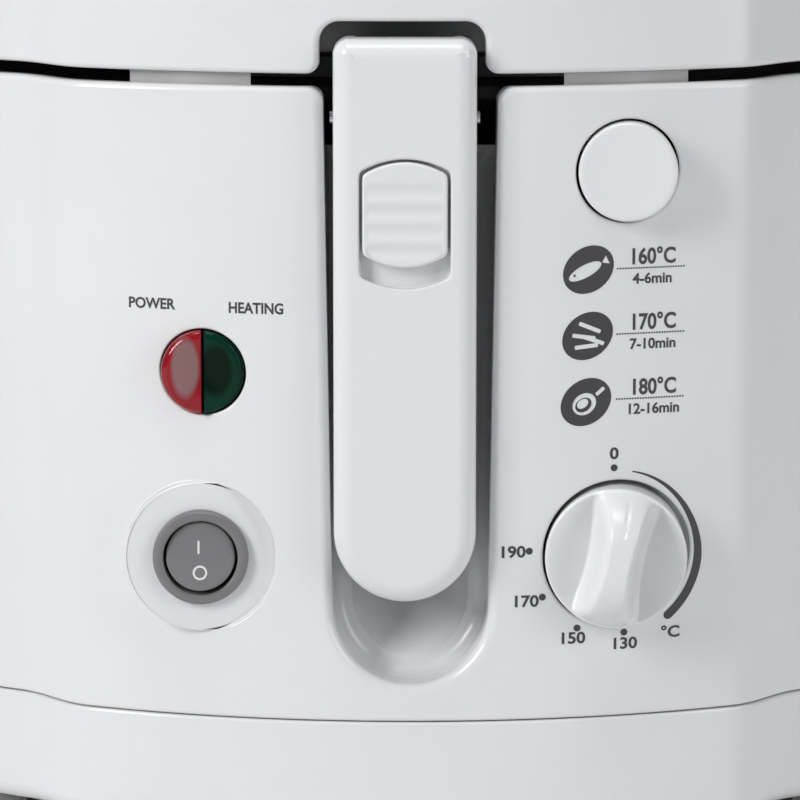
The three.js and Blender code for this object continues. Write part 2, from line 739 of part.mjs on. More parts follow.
function striker() {
  const [left, right] = [hookX - hookHalf, hookX + hookHalf];
  const catchBar = box(left, right, strikerY, strikerY + 5, strikerTop - 3, strikerTop);
  const stem = box(left, right, strikerY + 2.5, strikerY + 5, strikerTop - 1, lidTop);
  return catchBar.add(stem).intersect(lidRoom());
}

piece("lid_striker", striker(), innerWhite);

const stemFront = hookPivotY - 3;
const hookEnd = button.z - 5;
const hookPad = button.z - 1; // the button pushes the hook below this height only
const hookRelief = 2.5;

function latchHook() {
  const outline = polygon([
    [stemFront, hookEnd], [stemFront + 4.5, hookEnd], [hookPivotY + 3, hookPivotZ - 3],
    [hookPivotY + 3, hookPivotZ + 3], [hookPivotY + 1, strikerTop + 0.4], [hookNose, strikerTop + 0.4],
    [hookNose - 1, strikerTop + 4], [hookPivotY - 2, strikerTop + 4], [stemFront, hookPivotZ],
    [stemFront, hookPivotZ - 3], [stemFront + hookRelief, hookPad + 5], [stemFront, hookPad],
  ]);
  const pinHole = bar("x", hookPinRadius + gap, hookX - 20, hookX + 20, hookPivotY, hookPivotZ);
  return sidePlate(outline, hookX - hookHalf, hookX + hookHalf).subtract(pinHole);
}

piece("latch_hook", latchHook(), innerWhite);
const hookPinHalf = hookRibOut + hookRibThick;
piece(
  "latch_pin",
  bar("x", hookPinRadius, hookX - hookPinHalf, hookX + hookPinHalf, hookPivotY, hookPivotZ, 14),
  steel,
);

const buttonFace = consoleFaceY(button.x) - button.proud;
const buttonBack = stemFront - gap;

function releaseButton() {
  const cap = bar("y", button.across / 2, buttonFace, buttonFace + 9, button.x, button.z, 28);
  const hollow = bar("y", button.across / 2 - 2, buttonFace + 2.5, buttonFace + 12, button.x, button.z, 20);
  const stem = bar("y", 2.6, buttonFace + 1, buttonBack, button.x, button.z, 16);
  return cap.subtract(hollow).add(stem);
}

piece("release_button", releaseButton(), white);
const springLength = buttonBack - 1.4 - (buttonFace + 3.6);
piece(
  "button_spring",
  coil(4.2, 0.6, springLength / 4, 4, alongY(button.x, buttonFace + 3.6, button.z)),
  steel,
);

// ---------------------------------------------------------------- pot, basket and heating
piece(
  "pot",
  potRing([
    [-ledge, potRim], [0, potRim], [4, potFloor + 22], [10, potFloor + 6], [22, potFloor],
    [reach, potFloor], [reach, potFloor + potSheet], [22.5, potFloor + potSheet],
    [11.2, potFloor + 7.4], [5.6, potFloor + 22.6], [potSheet, potRim + potSheet],
    [-ledge, potRim + potSheet],
  ]),
  nonStick,
);

piece(
  "basket",
  potRing([
    [basketInset, basketRim], [basketInset + 6, basketFloor + 6], [basketInset + 10, basketFloor],
    [reach, basketFloor], [reach, basketFloor + basketSheet],
    [basketInset + 10.6, basketFloor + basketSheet], [basketInset + 7, basketFloor + 6.6],
    [basketInset + basketSheet, basketRim],
  ]),
  steel,
);

const elementRadius = 4;
const elementZ = potFloor - elementRadius - gap;

function heatingElement() {
  const path = new THREE.CurvePath();
  const [w, front, back, r] = [52, -58, 88, 46];
  const at = (x, y, z = elementZ) => new THREE.Vector3(x, y, z);
  const corner = (from, mid, to) => path.add(new THREE.QuadraticBezierCurve3(from, mid, to));
  const straight = (from, to) => path.add(new THREE.LineCurve3(from, to));
  straight(at(-12, front + 2 - 18, elementZ - 8), at(-12, front - 6));
  corner(at(-12, front - 6), at(-12, front), at(-22, front));
  corner(at(-22, front), at(-w, front), at(-w, front + r));
  straight(at(-w, front + r), at(-w, back - r));
  corner(at(-w, back - r), at(-w, back), at(-w + r, back));
  straight(at(-w + r, back), at(w - r, back));
  corner(at(w - r, back), at(w, back), at(w, back - r));
  straight(at(w, back - r), at(w, front + r));
  corner(at(w, front + r), at(w, front), at(22, front));
  corner(at(22, front), at(12, front), at(12, front - 6));
  straight(at(12, front - 6), at(12, front + 2 - 18, elementZ - 8));
  const ring = new THREE.Shape();
  ring.absarc(0, 0, elementRadius, 0, 2 * Math.PI);
  return solidOf(new THREE.ExtrudeGeometry(ring, { steps: 56, curveSegments: 3, extrudePath: path }));
}

piece("heating_element", heatingElement(), steel);
piece(
  "heat_shield",
  potRing([
    [reach, 34], [8, 34], [-4, 44], [-4, 78], [-2.8, 78], [-2.8, 44.4], [8.6, 35.2], [reach, 35.2],
  ]),
  steel,
);

const thermostatY = wellY + wall + gap;
const thermostatBox = box(
  dial.x - 18, dial.x + 18, thermostatY, thermostatY + 16, dial.z - 15, dial.z + 15,
);
const thermostatBore = bar("y", shaftRadius + 0.5, thermostatY - 5, thermostatY + 9, dial.x, dial.z);
piece("thermostat", thermostatBox.subtract(thermostatBore), ceramic);
piece("sensor_bulb", bar("x", 3, -38, 38, potY - potHalfDepth - 4, 92, 14), steel);
piece("thermal_cutout", bar("z", 9, potFloor - 10, potFloor - gap, 0, potY, 20), steel);
piece("terminal_block", box(-24, 24, rearY - 29, rearY - 15, 70, 86), ceramic);

// ---------------------------------------------------------------- front controls
function temperatureDial() {
  const grown = dial.across / 2;
  const rimY = consoleFaceY(dial.x) - dial.proud;
  const back = wellY - 0.8;
  const deep = back - rimY;
  const lathed = new THREE.LatheGeometry(
    [
      [0, 0], [grown, 0], [grown, deep - 0.8], [grown - 0.8, deep], [grown - 5, deep - 0.6], [0, deep - 2],
    ].map(([r, h]) => new THREE.Vector2(r, h)),
    32,
  );
  const skirt = solidOf(lathed.applyMatrix4(
    new THREE.Matrix4().set(1, 0, 0, dial.x, 0, -1, 0, back, 0, 0, 1, dial.z, 0, 0, 0, 1),
  ));
  const grip = new THREE.Shape();
  const [half, waist] = [grown - 1.4, 4.2];
  grip.moveTo(-8.4, half - 2.8);
  grip.quadraticCurveTo(0, half + 2.8, 8.4, half - 2.8);
  grip.quadraticCurveTo(waist - 1, 0, 8.4, -half + 2.8);
  grip.quadraticCurveTo(0, -half - 2.8, -8.4, -half + 2.8);
  grip.quadraticCurveTo(-waist + 1, 0, -8.4, half - 2.8);
  const root = rimY + 4; // the grip starts inside the dial's body
  const ridge = new THREE.ExtrudeGeometry(grip, {
    depth: root - frontY + dialReach,
    bevelEnabled: false,
    curveSegments: 6,
  });
  const turn = new THREE.Matrix4().makeRotationZ(-THREE.MathUtils.degToRad(dial.turned));
  const face = new THREE.Matrix4().set(1, 0, 0, dial.x, 0, 0, -1, root, 0, 1, 0, dial.z, 0, 0, 0, 1);
  const barGrip = solidOf(ridge.applyMatrix4(turn).applyMatrix4(face));
  const shaft = bar("y", shaftRadius, rimY + 3, thermostatY + 8, dial.x, dial.z, 16);
  return joined(skirt, barGrip, shaft);
}

piece("temperature_dial", temperatureDial(), white);

const bezelFace = seatY - 2.2;
const rockerPivotY = seatY + 1;
const rockerBore = rocker.across / 2 + 0.4;

function switchBody() {
  const flange = bar("y", rocker.bezel / 2, bezelFace, seatY - gap, rocker.x, rocker.z, 32);
  const barrel = bar("y", rocker.across / 2 + 1.5 - gap, seatY - 1, seatY + 16, rocker.x, rocker.z, 24);
  const well = bar("y", rockerBore, bezelFace - 1, seatY + 8, rocker.x, rocker.z, 24);
  return flange.add(barrel).subtract(well);
}

piece("switch_body", switchBody(), grey);

const rockerLean = 9; // degrees either side of level; it rests with its top pressed in

function powerRocker() {
  const r = rocker.across / 2;
  const outline = polygon([
    [bezelFace - 0.2, -r + 0.9], [bezelFace + 0.7, 0], [bezelFace - 0.2, r - 0.9],
    [seatY + 2.5, r - 1.6], [seatY + 4.5, 2], [seatY + 4.5, -2], [seatY + 2.5, -r + 1.6],
  ]);
  const slab = sidePlate(outline, -r, r);
  const round = bar("y", r - 0.2, bezelFace - 2, seatY + 7, 0, 0, 24);
  const level = slab.intersect(round).translate(0, -rockerPivotY, 0);
  return level.rotate(-rockerLean, 0, 0).translate(rocker.x, rockerPivotY, rocker.z);
}

piece("power_rocker", powerRocker(), grey);

const lensFace = consoleFaceY(lamp.x) - 1.6;
const lensBack = lensFace + 7;

function lens(side) {
  const r = lamp.across / 2;
  const disc = bar("y", r, lensFace, lensBack, lamp.x, lamp.z, 28);
  const [left, right] = [lamp.x + side * 0.35, lamp.x + side * (r + 2)].sort((a, b) => a - b);
  return disc.intersect(box(left, right, lensFace - 5, lensBack + 5, lamp.z - r - 1, lamp.z + r + 1));
}

piece("lamp_lens_red", lens(-1), redLens);
piece("lamp_lens_green", lens(1), greenLens);

function lampHolder() {
  const cup = bar("y", lamp.across / 2, lensBack + gap, lensBack + 15, lamp.x, lamp.z, 20);
  const bulb = (x) => bar("y", 2.8, lensBack - 1, lensBack + 9, x, lamp.z, 14);
  return cup.subtract(bulb(lamp.x - 5)).subtract(bulb(lamp.x + 5));
}

piece("lamp_holder", lampHolder(), black);

// ---------------------------------------------------------------- basket handle
const handleFace = frontY - handleProud;
const handleBack = handleFace + handleDeep;
const pivotY = handleFace + pivotBehind;

function handleOutline(inset, top = handleTop) {
  const half = handleWidth / 2 - inset;
  const endZ = handleEnd + handleWidth / 2;
  const crown = 3 + Math.max(0, 1 - inset);
  const shape = new THREE.Shape();
  shape.absarc(handleX, endZ, half, Math.PI, 2 * Math.PI);
  shape.absarc(handleX + half - crown, top - inset - crown, crown, 0, Math.PI / 2);
  shape.absarc(handleX - half + crown, top - inset - crown, crown, Math.PI / 2, Math.PI);
  return shape;
}

function sliderOutline(width, top, end) {
  const half = width / 2;
  const arch = 3;
  const shape = new THREE.Shape();
  shape.moveTo(handleX - half, top - arch);
  shape.quadraticCurveTo(handleX, top + arch, handleX + half, top - arch);
  shape.lineTo(handleX + half, end + arch);
  shape.quadraticCurveTo(handleX, end - arch, handleX - half, end + arch);
  return shape;
}

const slotFloor = 3.2; // slot's depth into the handle
const sliderTop = slotTop - 0.6;
const stemHalf = 3.4; // the slider's stem behind its plate
const stemLow = sliderTop - 16;
const stemHigh = sliderTop - 5;

function handle() {
  const body = facePlate(handleOutline(0), handleFace, handleBack, 8);
  const hollow = facePlate(handleOutline(handleSkin), handleFace + handleSkin + 4.5, handleBack + 1, 8);
  const upper = facePlate(handleOutline(handleSkin), handleFace + handleSkin, handleBack + 1, 8);
  const head = upper.intersect(box(-50, 50, handleFace, handleBack + 2, slotTop + 3, handleTop + 9));
  const slot = sliderOutline(slotWidth, slotTop, slotEnd);
  const thin = facePlate(slot, handleFace - 1, handleFace + slotFloor, 6);
  const stem = box(
    handleX - stemHalf - 0.6, handleX + stemHalf + 0.6, handleFace, handleBack,
    stemLow - sliderTravel - gap, stemHigh + gap,
  );
  const armRoom = box(
    handleX - bracketHalf - 0.8, handleX + bracketHalf + 0.8,
    pivotY - 2, handleBack + 1, handleTop - 6, handleTop + 1,
  );
  return body
    .subtract(hollow)
    .subtract(armRoom)
    .subtract(head)
    .subtract(thin)
    .subtract(stem)
    .subtract(bar("x", pinRadius + gap, -60, 60, pivotY, pivotHeight));
}

piece("handle", handle(), white);

const pinStub = 0.8; // the pin's ends stand out of the handle
const pinHalf = handleWidth / 2 + pinStub;
piece(
  "handle_pin",
  bar("x", pinRadius, handleX - pinHalf, handleX + pinHalf, pivotY, pivotHeight, 14),
  steel,
);

const sliderThick = slotFloor - 0.4;

function handleSlider() {
  const face = handleFace - 0.6;
  let solid = facePlate(
    sliderOutline(sliderWidth, sliderTop, sliderTop - sliderHeight), face, face + sliderThick + 0.4, 6,
  );
  for (let i = 0; i < 4; i++) {
    const z = sliderTop - 6.2 - i * 4.1;
    solid = solid.subtract(box(-40, 40, face - 1, face + 0.7, z - 0.7, z));
  }
  const [left, right] = [handleX - stemHalf, handleX + stemHalf];
  const stem = box(left, right, face + 1, handleFace + 11, stemLow, stemHigh);
  const tongue = box(left, right, handleFace + 8.5, handleFace + 11, stemLow, slotTop + 1);
  return joined(solid, stem, tongue);
}

piece("handle_slider", handleSlider(), white);
piece(
  "slider_spring",
  coil(2.4, 0.45, 2.4, 4, alongZ(handleX, handleFace + 10.6, slotTop - 33.5)),
  steel,
);

function handleBracket() {
  const armTop = potRim + potSheet + 2.6;
  const armLow = armTop - 2;
  const hangY = potY - potHalfDepth + basketInset - 1.2;
  const flat = polygon([
    [pivotY - 3, armLow], [hangY, armLow], [hangY, armTop], [pivotY - 3, armTop],
  ]);
  const hanger = polygon([
    [hangY - 2, basketRim - 26], [hangY, basketRim - 26], [hangY, armTop], [hangY - 2, armTop],
  ]);
  const ear = new THREE.Shape();
  ear.moveTo(pivotY - 4.5, armLow);
  ear.lineTo(pivotY + 14, armLow);
  ear.lineTo(pivotY + 4.5, pivotHeight);
  ear.absarc(pivotY, pivotHeight, 4.5, 0, Math.PI);
  const ears = [-1, 1].map((side) => {
    const x = handleX + side * (bracketHalf - 1);
    return sidePlate(ear, x - 1, x + 1);
  });
  return joined(
    sidePlate(flat, handleX - bracketHalf, handleX + bracketHalf),
    sidePlate(hanger, handleX - bracketHalf, handleX + bracketHalf),
    ...ears,
  ).subtract(bar("x", pinRadius + gap, -60, 60, pivotY, pivotHeight));
}

piece("handle_bracket", handleBracket(), steel);

export default fryer;
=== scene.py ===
# Looks for a household deep fryer with a fold-down basket handle.
# The helpers work in millimetres, +Z up, front towards -Y; meshes are stored in metres.
import math

import bpy
import numpy as np
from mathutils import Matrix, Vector
from mathutils.geometry import delaunay_2d_cdt


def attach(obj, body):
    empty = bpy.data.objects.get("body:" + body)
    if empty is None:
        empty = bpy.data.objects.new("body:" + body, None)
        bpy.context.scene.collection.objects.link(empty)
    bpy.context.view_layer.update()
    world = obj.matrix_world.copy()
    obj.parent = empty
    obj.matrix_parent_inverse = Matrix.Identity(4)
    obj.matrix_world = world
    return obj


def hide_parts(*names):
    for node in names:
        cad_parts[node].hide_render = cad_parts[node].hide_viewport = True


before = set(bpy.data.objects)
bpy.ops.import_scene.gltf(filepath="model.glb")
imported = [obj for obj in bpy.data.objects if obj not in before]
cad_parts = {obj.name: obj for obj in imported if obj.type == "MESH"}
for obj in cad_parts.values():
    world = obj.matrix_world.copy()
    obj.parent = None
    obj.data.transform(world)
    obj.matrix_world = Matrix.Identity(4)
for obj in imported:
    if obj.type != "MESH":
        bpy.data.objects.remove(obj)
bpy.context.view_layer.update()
MM = 0.001
GAP = 0.3

# ---------------------------------------------------------------- driving dimensions, as in the CAD
WALL = 2.8
HALF_WIDTH = 132.5
FRONT_Y, REAR_Y = -175.0, 175.0
BOW_RADIUS, CORNER_RADIUS, CONSOLE_RADIUS = 209.0, 66.0, 196.0
CONSOLE_STEP, CONSOLE_HALF, CONSOLE_BLEND, SHOULDER = 10.0, 78.0, 97.0, 9.0
FOOT_HEIGHT, SEAM, HOUSING_TOP = 6.0, 34.4, 187.0
LID_EDGE, LID_SIDE_TOP, LID_TOP = 190.0, 207.0, 242.0

RECESS_TOP, RECESS_LOW, RECESS_END = 41.2, 37.2, 43.5
RECESS_BACK, RECESS_RAMP, SILL = -150.0, 52.0, 171.0

HANDLE_X, HANDLE_WIDTH, HANDLE_TOP, HANDLE_END = -1.3, 33.8, 199.1, 64.4
HANDLE_FACE, HANDLE_BACK, HANDLE_SKIN = -181.0, -164.0, 3.0
NOTCH_X, NOTCH_WIDTH, NOTCH_TOP, NOTCH_CORNER = -1.9, 39.6, 202.4, 5.0
SLOT_WIDTH, SLOT_TOP, SLOT_END, SLOT_FLOOR = 21.4, 170.7, 140.0, 3.2
SLIDER_WIDTH, SLIDER_TOP, SLIDER_HEIGHT = 20.0, 170.1, 24.9

LAMP = (-49.4, 118.5, 10.05)
SWITCH = (-50.2, 73.8, 8.5)
PAD_RADIUS, SEAT_Y = 18.2, -169.5
BUTTON = (51.5, 166.5, 11.8)
BUTTON_PROUD = 3.5
DIAL = (49.2, 74.0, 17.0)
DIAL_PROUD, DIAL_FRONT, DIAL_TURNED, DIAL_WELL = 4.3, -185.0, 11.0, -160.0
DIAL_HOLE = (49.5, 74.35, 17.9)  # a little above and right of the dial
CONTROL_GAP = 0.6
LAMP_WELL, BUTTON_WELL = -158.0, -156.0
LENS_PROUD, LENS_GAP = 1.6, 0.35

GRIP = (92.0, 26.0, 11.0)  # the side grips: length, height and corner
GRIP_HEIGHT, GRIP_DEPTH, GRIP_LIP, GRIP_FOOT = 150.0, 17.0, 2.5, 5.0

POT_HALF = (94.0, 128.0)
POT_Y, POT_CORNER, POT_RIM = 10.0, 72.0, 174.4
COLLAR_TOP = 184.5
WINDOW = (116.0, 62.0, -42.0)
FILTER = (116.0, 74.0, 74.0)
INSERT_TOP, INSERT_THICK, FRAME_WIDE, OPENING_CORNER = 240.8, 3.0, 6.0, 10.0

# ---------------------------------------------------------------- roundings that only this model has
TOP_LIP, RECESS_LIP, RECESS_CORNER, RECESS_FOOT, SEAT_LIP = 1.6, 2.6, 4.0, 4.5, 0.45
SCOOP_DEPTH, SCOOP_REACH = 3.4, 13.5
LID_LIP, LID_WALL, LID_STEPS = 1.4, 3.2, 420


# ---------------------------------------------------------------- meshes with known normals
class Skin:
    """Gathers points, their outward directions and faces, then makes one object of them."""

    def __init__(self):
        self.spots = []
        self.ways = []
        self.faces = []
        self.marks = []
        self.count = 0

    def add(self, spots, ways, faces, mark=0):
        start = self.count
        self.spots.append(np.asarray(spots, float))
        self.ways.append(np.asarray(ways, float))
        self.faces += [tuple(start + i for i in face) for face in faces]
        self.marks += [mark] * len(faces)
        self.count += len(spots)

    def rows(self, rows, closed=True):
        """Quads between rows of (spots, ways) that have equal counts."""
        n = len(rows[0][0])
        faces = []
        for k in range(len(rows) - 1):
            for i in range(n if closed else n - 1):
                j = (i + 1) % n
                faces.append((k * n + i, k * n + j, (k + 1) * n + j, (k + 1) * n + i))
        self.add(np.concatenate([r[0] for r in rows]), np.concatenate([r[1] for r in rows]), faces)

    def grid(self, spots, flip=False):
        """Closed rings of places (rows, columns, 3), with directions taken from the shape itself."""
        ways = grid_ways(np.asarray(spots, float)) * (-1 if flip else 1)
        self.rows(list(zip(spots, ways)))

    def object(self, name, materials):
        spots = np.concatenate(self.spots)
        ways = unit(np.concatenate(self.ways))
        faces = []
        marks = []
        for face, mark in zip(self.faces, self.marks):
            corners = spots[list(face)]
            normal = np.cross(corners[1] - corners[0], corners[2] - corners[0])
            if len(face) == 4:
                normal = normal + np.cross(corners[2] - corners[0], corners[3] - corners[0])
            if np.linalg.norm(normal) < 1e-9:
                continue
            turned = normal @ ways[list(face)].sum(axis=0) < 0
            faces.append(face[::-1] if turned else face)
            marks.append(mark)
        mesh = bpy.data.meshes.new(name)
        mesh.from_pydata((spots * MM).tolist(), [], faces)
        mesh.polygons.foreach_set("use_smooth", [True] * len(mesh.polygons))
        mesh.polygons.foreach_set("material_index", marks)
        for material in materials:
            mesh.materials.append(material)
        mesh.normals_split_custom_set_from_vertices(ways.tolist())
        obj = bpy.data.objects.new(name, mesh)
        bpy.context.scene.collection.objects.link(obj)
        return obj


def columns(*parts):
    """Lays equal rows of numbers side by side, as the coordinates of places."""
    return np.stack(parts, axis=-1)


def grid_ways(spots):
    """Directions square to a grid of closed rings."""
    wide = np.concatenate([spots[:, -1:], spots, spots[:, :1]], axis=1)
    return unit(np.cross(np.gradient(spots, axis=0), np.gradient(wide, axis=1)[:, 1:-1]))


def unit(vectors):
    size = np.linalg.norm(vectors, axis=-1, keepdims=True)
    return vectors / np.maximum(size, 1e-12)


def bezier(points, count):
    """Places along the curve that a list of points steers."""
    t = np.linspace(0, 1, count)[:, None]
    points = np.array(points, float)
    last = len(points) - 1
    return sum(math.comb(last, i) * (1 - t) ** (last - i) * t**i * p for i, p in enumerate(points))


def smooth(low, high, value):
    t = np.clip((value - low) / (high - low), 0, 1)
    return t * t * (3 - 2 * t)


def inside(points, loop):
    """Which points lie inside a closed loop."""
    x, y = points[:, 0:1], points[:, 1:2]
    ax, ay = loop[:, 0], loop[:, 1]
    bx, by = np.roll(ax, -1), np.roll(ay, -1)
    crosses = (ay > y) != (by > y)
    with np.errstate(divide="ignore", invalid="ignore"):
        at = ax + (y - ay) * (bx - ax) / np.where(by == ay, 1, by - ay)
    return (crosses & (x < at)).sum(axis=1) % 2 == 1


def within(points, outline, holes):
    """Which points lie inside an outline and in none of its holes."""
    keep = inside(points, outline)
    for hole in holes:
        keep &= ~inside(points, hole)
    return keep


def fill(outline, holes=(), step=(4.0, 6.0)):
    """Triangles inside an outline and outside its holes, with a grid of inner points."""
    loops = [outline, *holes]
    low, high = outline.min(axis=0), outline.max(axis=0)
    counts = [max(2, int(math.ceil((high[i] - low[i]) / step[i]))) for i in range(2)]
    axes = [np.linspace(low[i], high[i], counts[i] + 1)[1:-1] for i in range(2)]
    grid = np.stack(np.meshgrid(*axes), axis=-1).reshape(-1, 2)
    grid = grid[within(grid, outline, holes)]
    rim = np.concatenate(loops) / step
    clear = [np.min(((rim - p) ** 2).sum(axis=1)) > 0.2 for p in grid / step]
    grid = grid[np.array(clear, bool)]
    points = np.concatenate([*loops, grid])
    edges = []
    start = 0
    for loop in loops:
        n = len(loop)
        edges += [(start + i, start + (i + 1) % n) for i in range(n)]
        start += n
    made = delaunay_2d_cdt([Vector(p) for p in points], edges, [], 0, 1e-6)
    spots = np.array([points[o[0]] if o else v for v, o in zip(made[0], made[3])])
    triangles = np.array([f for f in made[2] if len(f) == 3])
    return spots, triangles[within(spots[triangles].mean(axis=1), outline, holes)]


def away_from(loop, closed=True):
    """Unit directions square to a loop that runs anticlockwise, pointing to its outside."""
    before, after = np.roll(loop, 1, axis=0), np.roll(loop, -1, axis=0)
    if not closed:
        before[0], after[-1] = loop[0], loop[-1]
    run = unit(after - before)
    return columns(run[:, 1], -run[:, 0])


def spaced(loop, step):
    """Adds points to a loop where its sides are longer than a step."""
    out = []
    for a, b in zip(loop, np.roll(loop, -1, axis=0)):
        n = max(1, int(math.ceil(np.linalg.norm(b - a) / step)))
        out += [a + (b - a) * k / n for k in range(n)]
    return np.array(out)


def circle(x, z, radius, count=72):
    turn = np.linspace(0, 2 * math.pi, count, endpoint=False)
    return columns(x + radius * np.cos(turn), z + radius * np.sin(turn))


def arc(x, z, radius, start, end, count):
    turn = np.radians(np.linspace(start, end, count))
    return columns(x + radius * np.cos(turn), z + radius * np.sin(turn))


def rounded_rect(x, z, width, height, radius, count=9):
    w, h = width / 2 - radius, height / 2 - radius
    corners = [(w, -h, -90), (w, h, 0), (-w, h, 90), (-w, -h, 180)]
    return np.concatenate([arc(x + a, z + b, radius, t, t + 90, count) for a, b, t in corners])


class Flat:
    """A flat face: places (a, b) on it run along two axes, and its depth runs against its normal."""

    def __init__(self, origin, across, up, normal):
        self.origin, self.across = np.array(origin, float), np.array(across, float)
        self.up, self.normal = np.array(up, float), np.array(normal, float)

    def at(self, q):
        return self.origin + q[:, 0:1] * self.across + q[:, 1:2] * self.up

    def out(self, q):
        return np.tile(self.normal, (len(q), 1))

    def side(self, q, way):
        return way[:, 0:1] * self.across + way[:, 1:2] * self.up


def front_face(y):
    return Flat((0, y, 0), (1, 0, 0), (0, 0, 1), (0, -1, 0))


def top_face(z):
    return Flat((0, 0, z), (1, 0, 0), (0, 1, 0), (0, 0, 1))


class Around:
    """The upright side of the body: places (s, z), with s along the plan curve from the front middle."""

    def __init__(self):
        half = plan_half()
        mirror = half[::-1][:-1] * [-1, 1]
        points = np.concatenate([mirror, half])
        steps = np.linalg.norm(np.diff(points, axis=0), axis=1)
        s = np.concatenate([[0], np.cumsum(steps)])
        self.s = s - s[-1] / 2
        run = unit(np.gradient(points, self.s, axis=0))
        self.normals = columns(run[:, 1], -run[:, 0])
        self.points = points
        self.length = s[-1]
        front = np.abs(self.s) < 100
        self.front_x, self.front_s = self.points[front, 0], self.s[front]

    def flat(self, s):
        spot = columns(*[np.interp(s, self.s, self.points[:, i]) for i in range(2)])
        way = unit(columns(*[np.interp(s, self.s, self.normals[:, i]) for i in range(2)]))
        return spot, way

    def at(self, q):
        spot, _ = self.flat(q[:, 0])
        return np.concatenate([spot, q[:, 1:2]], axis=1)

    def out(self, q):
        _, way = self.flat(q[:, 0])
        return np.concatenate([way, np.zeros((len(q), 1))], axis=1)

    def side(self, q, way):
        _, out = self.flat(q[:, 0])
        run = columns(-out[:, 1], out[:, 0])
        return np.concatenate([run * way[:, 0:1], way[:, 1:2]], axis=1)

    def from_front(self, loop):
        """A loop drawn across (x, z) on the front, as (s, z)."""
        return columns(np.interp(loop[:, 0], self.front_x, self.front_s), loop[:, 1])


def console_y(x):
    return FRONT_Y + CONSOLE_RADIUS - np.sqrt(CONSOLE_RADIUS**2 - np.square(x))


def bow_y(x):
    return FRONT_Y + CONSOLE_STEP + BOW_RADIUS - np.sqrt(BOW_RADIUS**2 - np.square(x))


def plan_half():
    """The right half of the body's plan, from the front middle round to the rear middle."""
    bow_front = FRONT_Y + CONSOLE_STEP + BOW_RADIUS
    bow_rear = REAR_Y - BOW_RADIUS
    corner_x = HALF_WIDTH - CORNER_RADIUS
    corner_off = math.sqrt((BOW_RADIUS - CORNER_RADIUS) ** 2 - corner_x**2)
    turn = math.degrees(math.atan2(corner_x, corner_off))
    face = math.asin(CONSOLE_HALF / CONSOLE_RADIUS)
    bow = math.asin(CONSOLE_BLEND / BOW_RADIUS)
    a = np.array([CONSOLE_HALF, console_y(CONSOLE_HALF)])
    d = np.array([CONSOLE_BLEND, bow_y(CONSOLE_BLEND)])
    b = a + SHOULDER * np.array([math.cos(face), math.sin(face)])
    c = d - SHOULDER * np.array([math.cos(bow), math.sin(bow)])
    shoulder = bezier([a, b, c, d], 40)[1:]
    first = arc(0, FRONT_Y + CONSOLE_RADIUS, CONSOLE_RADIUS, -90, -90 + math.degrees(face), 120)
    front = arc(corner_x, bow_front - corner_off, CORNER_RADIUS, -90 + turn, 0, 90)[1:]
    rear = arc(corner_x, bow_rear + corner_off, CORNER_RADIUS, 0, 90 - turn, 90)
    last = arc(0, bow_rear, BOW_RADIUS, 90 - turn, 90, 60)[1:]
    points = np.concatenate([first, shoulder, front, rear, last])
    steps = np.concatenate([[0], np.cumsum(np.linalg.norm(np.diff(points, axis=0), axis=1))])
    even = np.linspace(0, steps[-1], int(steps[-1] / 0.5))
    return columns(*[np.interp(even, steps, points[:, i]) for i in range(2)])


BODY = Around()


def edge_rows(face, edge, away, lip, deep, foot=0.0, down=None, turns=5):
    """Rows from a face over a rounded lip, down a wall and round its foot.

    The wall stands on `edge`; `away` points off the face there. A negative depth rises instead."""
    n = len(edge)
    lip, deep, foot = (np.broadcast_to(np.asarray(v, float), (n,)).copy() for v in (lip, deep, foot))
    tall = np.abs(deep)
    fit = np.minimum(1, tall / np.maximum(lip + foot, 1e-9))
    lip, foot = (lip * fit)[:, None], (foot * fit)[:, None]
    sign = np.where(deep < 0, -1.0, 1.0)[:, None]
    tall = tall[:, None]
    rows = []
    for k in range(turns + 1):
        angle = math.pi / 2 * k / turns
        q = edge - away * lip * (1 - math.sin(angle))
        depth = lip * (1 - math.cos(angle))
        rows.append((q, depth, math.cos(angle), math.sin(angle)))
    for k in range(turns + 1 if foot.max() > 0 else 1):
        angle = math.pi / 2 * k / turns
        q = edge + away * foot * (1 - math.cos(angle))
        depth = tall - foot * (1 - math.sin(angle))
        rows.append((q, depth, math.sin(angle), math.cos(angle)))
    made = []
    for q, depth, face_part, side_part in rows:
        out = face.out(q)
        inward = -out if down is None else np.broadcast_to(np.asarray(down, float), out.shape)
        spots = face.at(q) + inward * depth * sign
        ways = out * face_part + face.side(q, away) * side_part * sign
        made.append((spots, unit(ways)))
    border = edge - away * lip
    return made, border


def slab(skin, face, outline, holes=(), thick=3.0, lip=0.6, hole_lip=None, step=(3.0, 3.0), relief=None):
    """A plate with rounded front edges, its outline and holes given anticlockwise."""
    hole_lip = lip if hole_lip is None else hole_lip
    rows, border = edge_rows(face, outline, away_from(outline), lip, thick)
    skin.rows(rows)
    rims = [cut(skin, face, hole, hole_lip, thick) for hole in holes]
    cover(skin, face, border, rims, step, relief)
    spots, triangles = fill(outline, holes, (1e3, 1e3))
    skin.add(face.at(spots) - face.out(spots) * thick, -face.out(spots), triangles.tolist())


def cut(skin, face, hole, lip, deep, foot=0.0, down=None):
    """The lip and wall of a hole; gives the rim where the face around it begins."""
    rows, rim = edge_rows(face, hole, -away_from(hole), lip, deep, foot, down)
    skin.rows(rows)
    return rim


def slopes(height, spots, tiny):
    """How fast a height over places rises along each of their two axes."""
    return [(height(spots + d) - height(spots - d)) / (2 * tiny) for d in ([tiny, 0], [0, tiny])]


